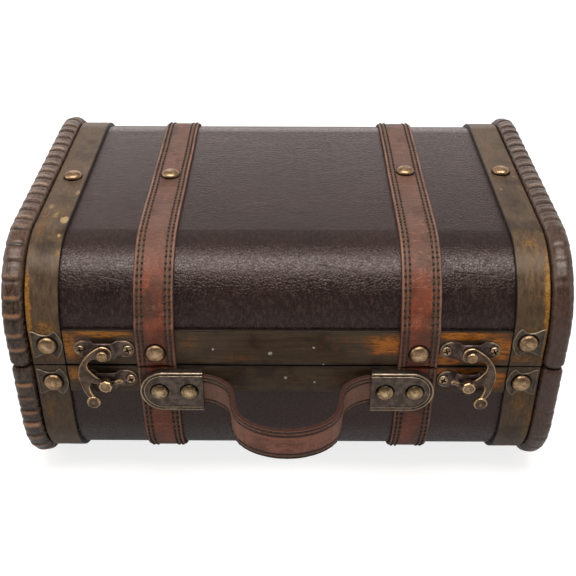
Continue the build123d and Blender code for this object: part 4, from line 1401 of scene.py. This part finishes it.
handleForm = {
    "halfWidth": 9.75 * mm,
    "thickness": 2.4 * mm,
    "crown": 0.25 * mm,
    "play": 0.15 * mm,
    "endInset": 3.6 * mm,
    "reach": 39.4 * mm,
    "droop": 3.8 * mm,
    "edge": 0.75 * mm,
    "rowOuter": 8.6 * mm,
    "rowInner": 6.1 * mm,
    "rowDepth": 0.25 * mm,
    "rowWidth": 0.55 * mm,
    "stitchStart": 0.8 * mm,
    "stitchPitch": 3.4 * mm,
    "stitchLength": 2.5 * mm,
    "stitchRadius": 0.42 * mm,
    # the bow from the right cap's mouth to the middle, in shares of mouth, reach and droop
    "xShares": (
        1.0, 0.915, 0.825, 0.735, 0.672, 0.64, 0.626, 0.613, 0.584, 0.531, 0.448, 0.351, 0.243, 0.127, 0.0,
    ),
    "yShares": (0.0, 0.02, 0.065, 0.14, 0.225, 0.335, 0.445, 0.56, 0.665, 0.765, 0.85, 0.915, 0.96, 0.99, 1.0),
    "zShares": (0.0, 0.01, 0.04, 0.09, 0.16, 0.26, 0.36, 0.48, 0.59, 0.70, 0.80, 0.88, 0.94, 0.985, 1.0),
}


def makeCaps(material):
    form = capForm
    radius = form["height"] / 2
    straight = form["outer"] - form["mouth"] - radius
    # round the cap from its mouth: the place along, and the way out of its middle line
    turns = [math.pi / 2 - math.pi * n / 24 for n in range(25)]
    path = [(0, 0, 1), (straight / 2, 0, 1), *((straight, math.cos(turn), math.sin(turn)) for turn in turns)]
    path += [(straight / 2, 0, -1), (0, 0, -1)]
    for side, sign in sides():

        def at(station, corner):
            (along, outX, outZ), (inset, lift, worn) = station, corner
            reach = radius - inset * mm
            x, y = form["mouth"] + along + outX * reach, form["back"] - lift * form["thickness"]
            return Vector((sign * x, y, form["middleZ"] + outZ * reach)), (along, inset * mm, 0), worn

        shape = Form()
        rows = shape.rings(path, form["section"], at)
        for one, two in zip(rows, rows[1:]):
            shape.bridge(one, two, closed=False)
        shape.faces += rungs([row[-1] for row in rows])
        shape.faces += [rows[0] + rows[-1][::-1], [row[0] for row in rows]]
        node = "handle_" + side + "_cap"
        shape.piece(node + "_metal", "base", material, node, "aged_bronze", 30)


def makeRivets(material):
    y = capForm["back"] - capForm["thickness"] * capForm["rivetSeat"]
    places = [sign * (capForm["outer"] - inset) for _, sign in sides() for inset in capForm["rivets"]]
    for number, x in enumerate(places, 1):
        shape = Form()
        turned(shape, Vector((x, y, capForm["middleZ"])), front, rivetForm, number * 5.1)
        shape.piece("handle_rivet_" + str(number), "base", material, "handle_rivets", "nail_brass")


def curveThrough(values, count=6):
    # evenly spread points on a smooth curve through the values
    padded = [values[0], *values, values[-1]]
    found = []
    for a, b, c, d in zip(padded, padded[1:], padded[2:], padded[3:]):
        for step in range(count):
            t = step / count
            square, cube = 2 * a - 5 * b + 4 * c - d, 3 * b - a - 3 * c + d
            found.append((2 * b + (c - a) * t + square * t * t + cube * t ** 3) / 2)
    return found + [values[-1]]


def handleRoute():
    form = handleForm
    strapFace = caseForm["middleY"] - caseForm["faceDepth"] - caseForm["strapRise"]
    start = strapFace - form["play"] - form["thickness"] / 2
    xs = [capForm["mouth"] * share for share in curveThrough(form["xShares"])]
    ys = [start - form["reach"] * share for share in curveThrough(form["yShares"])]
    zs = [capForm["middleZ"] - form["droop"] * share for share in curveThrough(form["zShares"])]
    end = (capForm["outer"] - form["endInset"], start, capForm["middleZ"])
    right = [Vector(p) for p in (end, *zip(xs, ys, zs))]
    return right + [Vector((-p.x, p.y, p.z)) for p in reversed(right[:-1])]


def makeHandle(leather, thread):
    form = handleForm
    route = handleRoute()
    # the way along the handle, the point and the way out of its front
    marks = []
    run = 0.0
    for n, point in enumerate(route):
        before = route[max(n - 1, 0)]
        ahead = route[min(n + 1, len(route) - 1)] - before
        ahead.z = 0
        ahead.normalize()
        run += (point - before).length
        marks.append((run, point, Vector((-ahead.y, ahead.x, 0))))

    def at(mark, corner):
        (run, point, out), (x, rise) = mark, corner
        return point + out * (rise - form["thickness"] / 2) + up * x, (run + 5, x, rise)

    shape = lofted(marks, strapSection(form), at)
    shape.piece("handle_strap_leather", "base", leather, "handle_strap", "strap_leather", 50)

    def onRoute(distance):
        n = next(n for n, mark in enumerate(marks) if n and mark[0] >= distance)
        (low, one, outOne), (high, two, outTwo) = marks[n - 1], marks[n]
        t = (distance - low) / (high - low)
        return one.lerp(two, t), outOne.lerp(outTwo, t).normalized()

    sewn = Form()
    hidden = capForm["outer"] - capForm["mouth"] - form["endInset"]
    count = int((run - 2 * hidden) / form["stitchPitch"])
    for face, sink in ((1, form["rowDepth"] * 0.9), (-1, 0.1 * mm)):
        lift = (form["thickness"] / 2 - sink) * face
        for row in (-form["rowOuter"], -form["rowInner"], form["rowInner"], form["rowOuter"]):
            for n in range(count):
                low = hidden + form["stitchStart"] + n * form["stitchPitch"]
                (one, outOne), (two, outTwo) = onRoute(low), onRoute(low + form["stitchLength"])
                first, last = one + outOne * lift + up * row, two + outTwo * lift + up * row
                stitch(sewn, first, last, outOne * face, form["stitchRadius"])
    sewn.piece("handle_strap_stitches", "base", thread, None, "strap_leather", 80)


handleLeather = strapMaterial("handleLeather", handleForm, handleLook)
makeCaps(metalMaterial("cap"))
makeRivets(metalMaterial("rivet"))
makeHandle(handleLeather, thread)
print("handle")

for name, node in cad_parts.items():
    if "hinge" in name:
        dress(node, screwMetal if name.endswith("screws") else bronze)
print("hinges")

# floor, light and camera
stageLook = {
    "floorSize": 6.0,
    "floorColour": (0.42, 0.42, 0.42),
    "floorGlow": 0.8,
    # how much of that glow the metal and the leather mirror
    "mirroredGlow": 0.2,
    # what lights the object, from the front and from the back, and the dim ceiling that it mirrors
    "worldFront": 0.22,
    "worldBack": 0.6,
    "ceiling": 0.5,
    "dip": 0.85,
    # how bright the room is where the metal mirrors it, in front and behind
    "room": (0.3, 1.21),
    "roomColour": (1.0, 0.92, 0.9),
    "white": (1.0, 1.0, 1.0),
    "lampColour": (1.0, 0.96, 0.92),
    "lampAim": (0, 0, 0.1),
    # place, size and strength
    "lamps": {
        "topSoftbox": ((0.0, -0.225, 1.0), (1.1, 0.38), 8.8),
        "backSoftbox": ((0.0, 1.5, 0.35), (2.4, 0.5), 0.8),
        "leftSoftbox": ((-1.4, -0.2, 0.8), (0.8, 0.8), 3.5),
        "rightSoftbox": ((1.4, -0.5, 0.6), (0.8, 0.8), 1.5),
    },
}


def makeStage():
    look = stageLook
    size = look["floorSize"]
    mesh = bpy.data.meshes.new("floor")
    corners = [(-size, -size, 0), (size, -size, 0), (size, size, 0), (-size, size, 0)]
    mesh.from_pydata(corners, [], [(0, 1, 2, 3)])
    floor = bpy.data.objects.new("floor", mesh)
    bpy.context.collection.objects.link(floor)
    material, s = newShader("paleFloor")
    shade = s.node("ShaderNodeBsdfDiffuse", inputs={"Color": look["floorColour"]})
    dark, glow = (
        s.node("ShaderNodeEmission", inputs={"Color": look["white"], "Strength": strength})
        for strength in (0.0, look["floorGlow"])
    )
    plain, mirrored = s.rays()
    shown = s.maths("MAXIMUM", plain, mirrored * look["mirroredGlow"])
    light = s.node("ShaderNodeMixShader", inputs={0: shown, 1: dark, 2: glow})
    both = s.node("ShaderNodeAddShader", inputs={0: shade, 1: light})
    s.node("ShaderNodeOutputMaterial", inputs={0: both}, output=None)
    mesh.materials.append(material)


def makeWorld():
    look = stageLook
    world = bpy.data.worlds.new("studio")
    bpy.context.scene.world = world
    s = Shader(world)
    way = s.node("ShaderNodeTexCoord", output="Generated")
    x, y, z = (s.split(way, axis) for axis in "XYZ")
    lit = s.span(y, -0.55, 0.75, look["worldFront"], look["worldBack"])
    ceiling = s.span(z, 0.39, 0.465) * (1 - look["ceiling"])
    dip = s.span(z, 0.4, 0.47) * s.span(z, 0.52, 0.68, 1.0, 0.0) * look["dip"]
    room = s.span(y, -0.35, 0.25, *look["room"]) * s.span(x, 0.05, 0.4, 1.0, 0.8)
    plain, mirrored = s.rays()
    rest = 1 - s.maths("MAXIMUM", plain, mirrored)
    strength = plain + mirrored * ((1 - ceiling) * (1 - dip) * room) + rest * lit
    tint = s.mix(plain, look["roomColour"], look["white"])
    glow = s.node("ShaderNodeBackground", inputs={"Color": tint, "Strength": strength})
    s.node("ShaderNodeOutputWorld", inputs={0: glow}, output=None)


def makeLights():
    look = stageLook
    for name, (place, size, energy) in look["lamps"].items():
        data = bpy.data.lights.new(name, "AREA")
        data.shape = "RECTANGLE"
        data.size, data.size_y = size
        data.energy = energy
        data.color = look["lampColour"]
        lamp = bpy.data.objects.new(name, data)
        lamp.location = place
        lamp.rotation_mode = "QUATERNION"
        lamp.rotation_quaternion = (Vector(look["lampAim"]) - Vector(place)).to_track_quat("-Z", "Y")
        bpy.context.collection.objects.link(lamp)


# solved from the photograph: 576 pixels across a 36 mm wide sensor
cameraForm = {
    "place": (1.4013 * mm, -482.766 * mm, 398.528 * mm),
    "focalPixels": 924.77,
    "imagePixels": 576,
    "sensor": 36.0,
    "pitch": 0.5865257,
    "yaw": -0.0027191,
    "roll": 0.0025855,
}


def makeCamera():
    form = cameraForm
    pitch, yaw, roll = form["pitch"], form["yaw"], form["roll"]
    ahead = Vector((math.sin(yaw) * math.cos(pitch), math.cos(yaw) * math.cos(pitch), -math.sin(pitch)))
    right = Vector((math.cos(yaw), -math.sin(yaw), 0))
    over = right.cross(ahead)
    rightRolled = right * math.cos(roll) + over * math.sin(roll)
    overRolled = over * math.cos(roll) - right * math.sin(roll)
    data = bpy.data.cameras.new("camera")
    data.sensor_width = form["sensor"]
    data.lens = form["focalPixels"] / form["imagePixels"] * form["sensor"]
    camera = bpy.data.objects.new("camera", data)
    turn = Matrix((rightRolled, overRolled, -ahead)).transposed()
    camera.matrix_world = Matrix.Translation(form["place"]) @ turn.to_4x4()
    bpy.context.collection.objects.link(camera)
    bpy.context.scene.camera = camera


makeStage()
makeWorld()
makeLights()
makeCamera()
bpy.context.scene.view_settings.view_transform = "Standard"
print("stage")
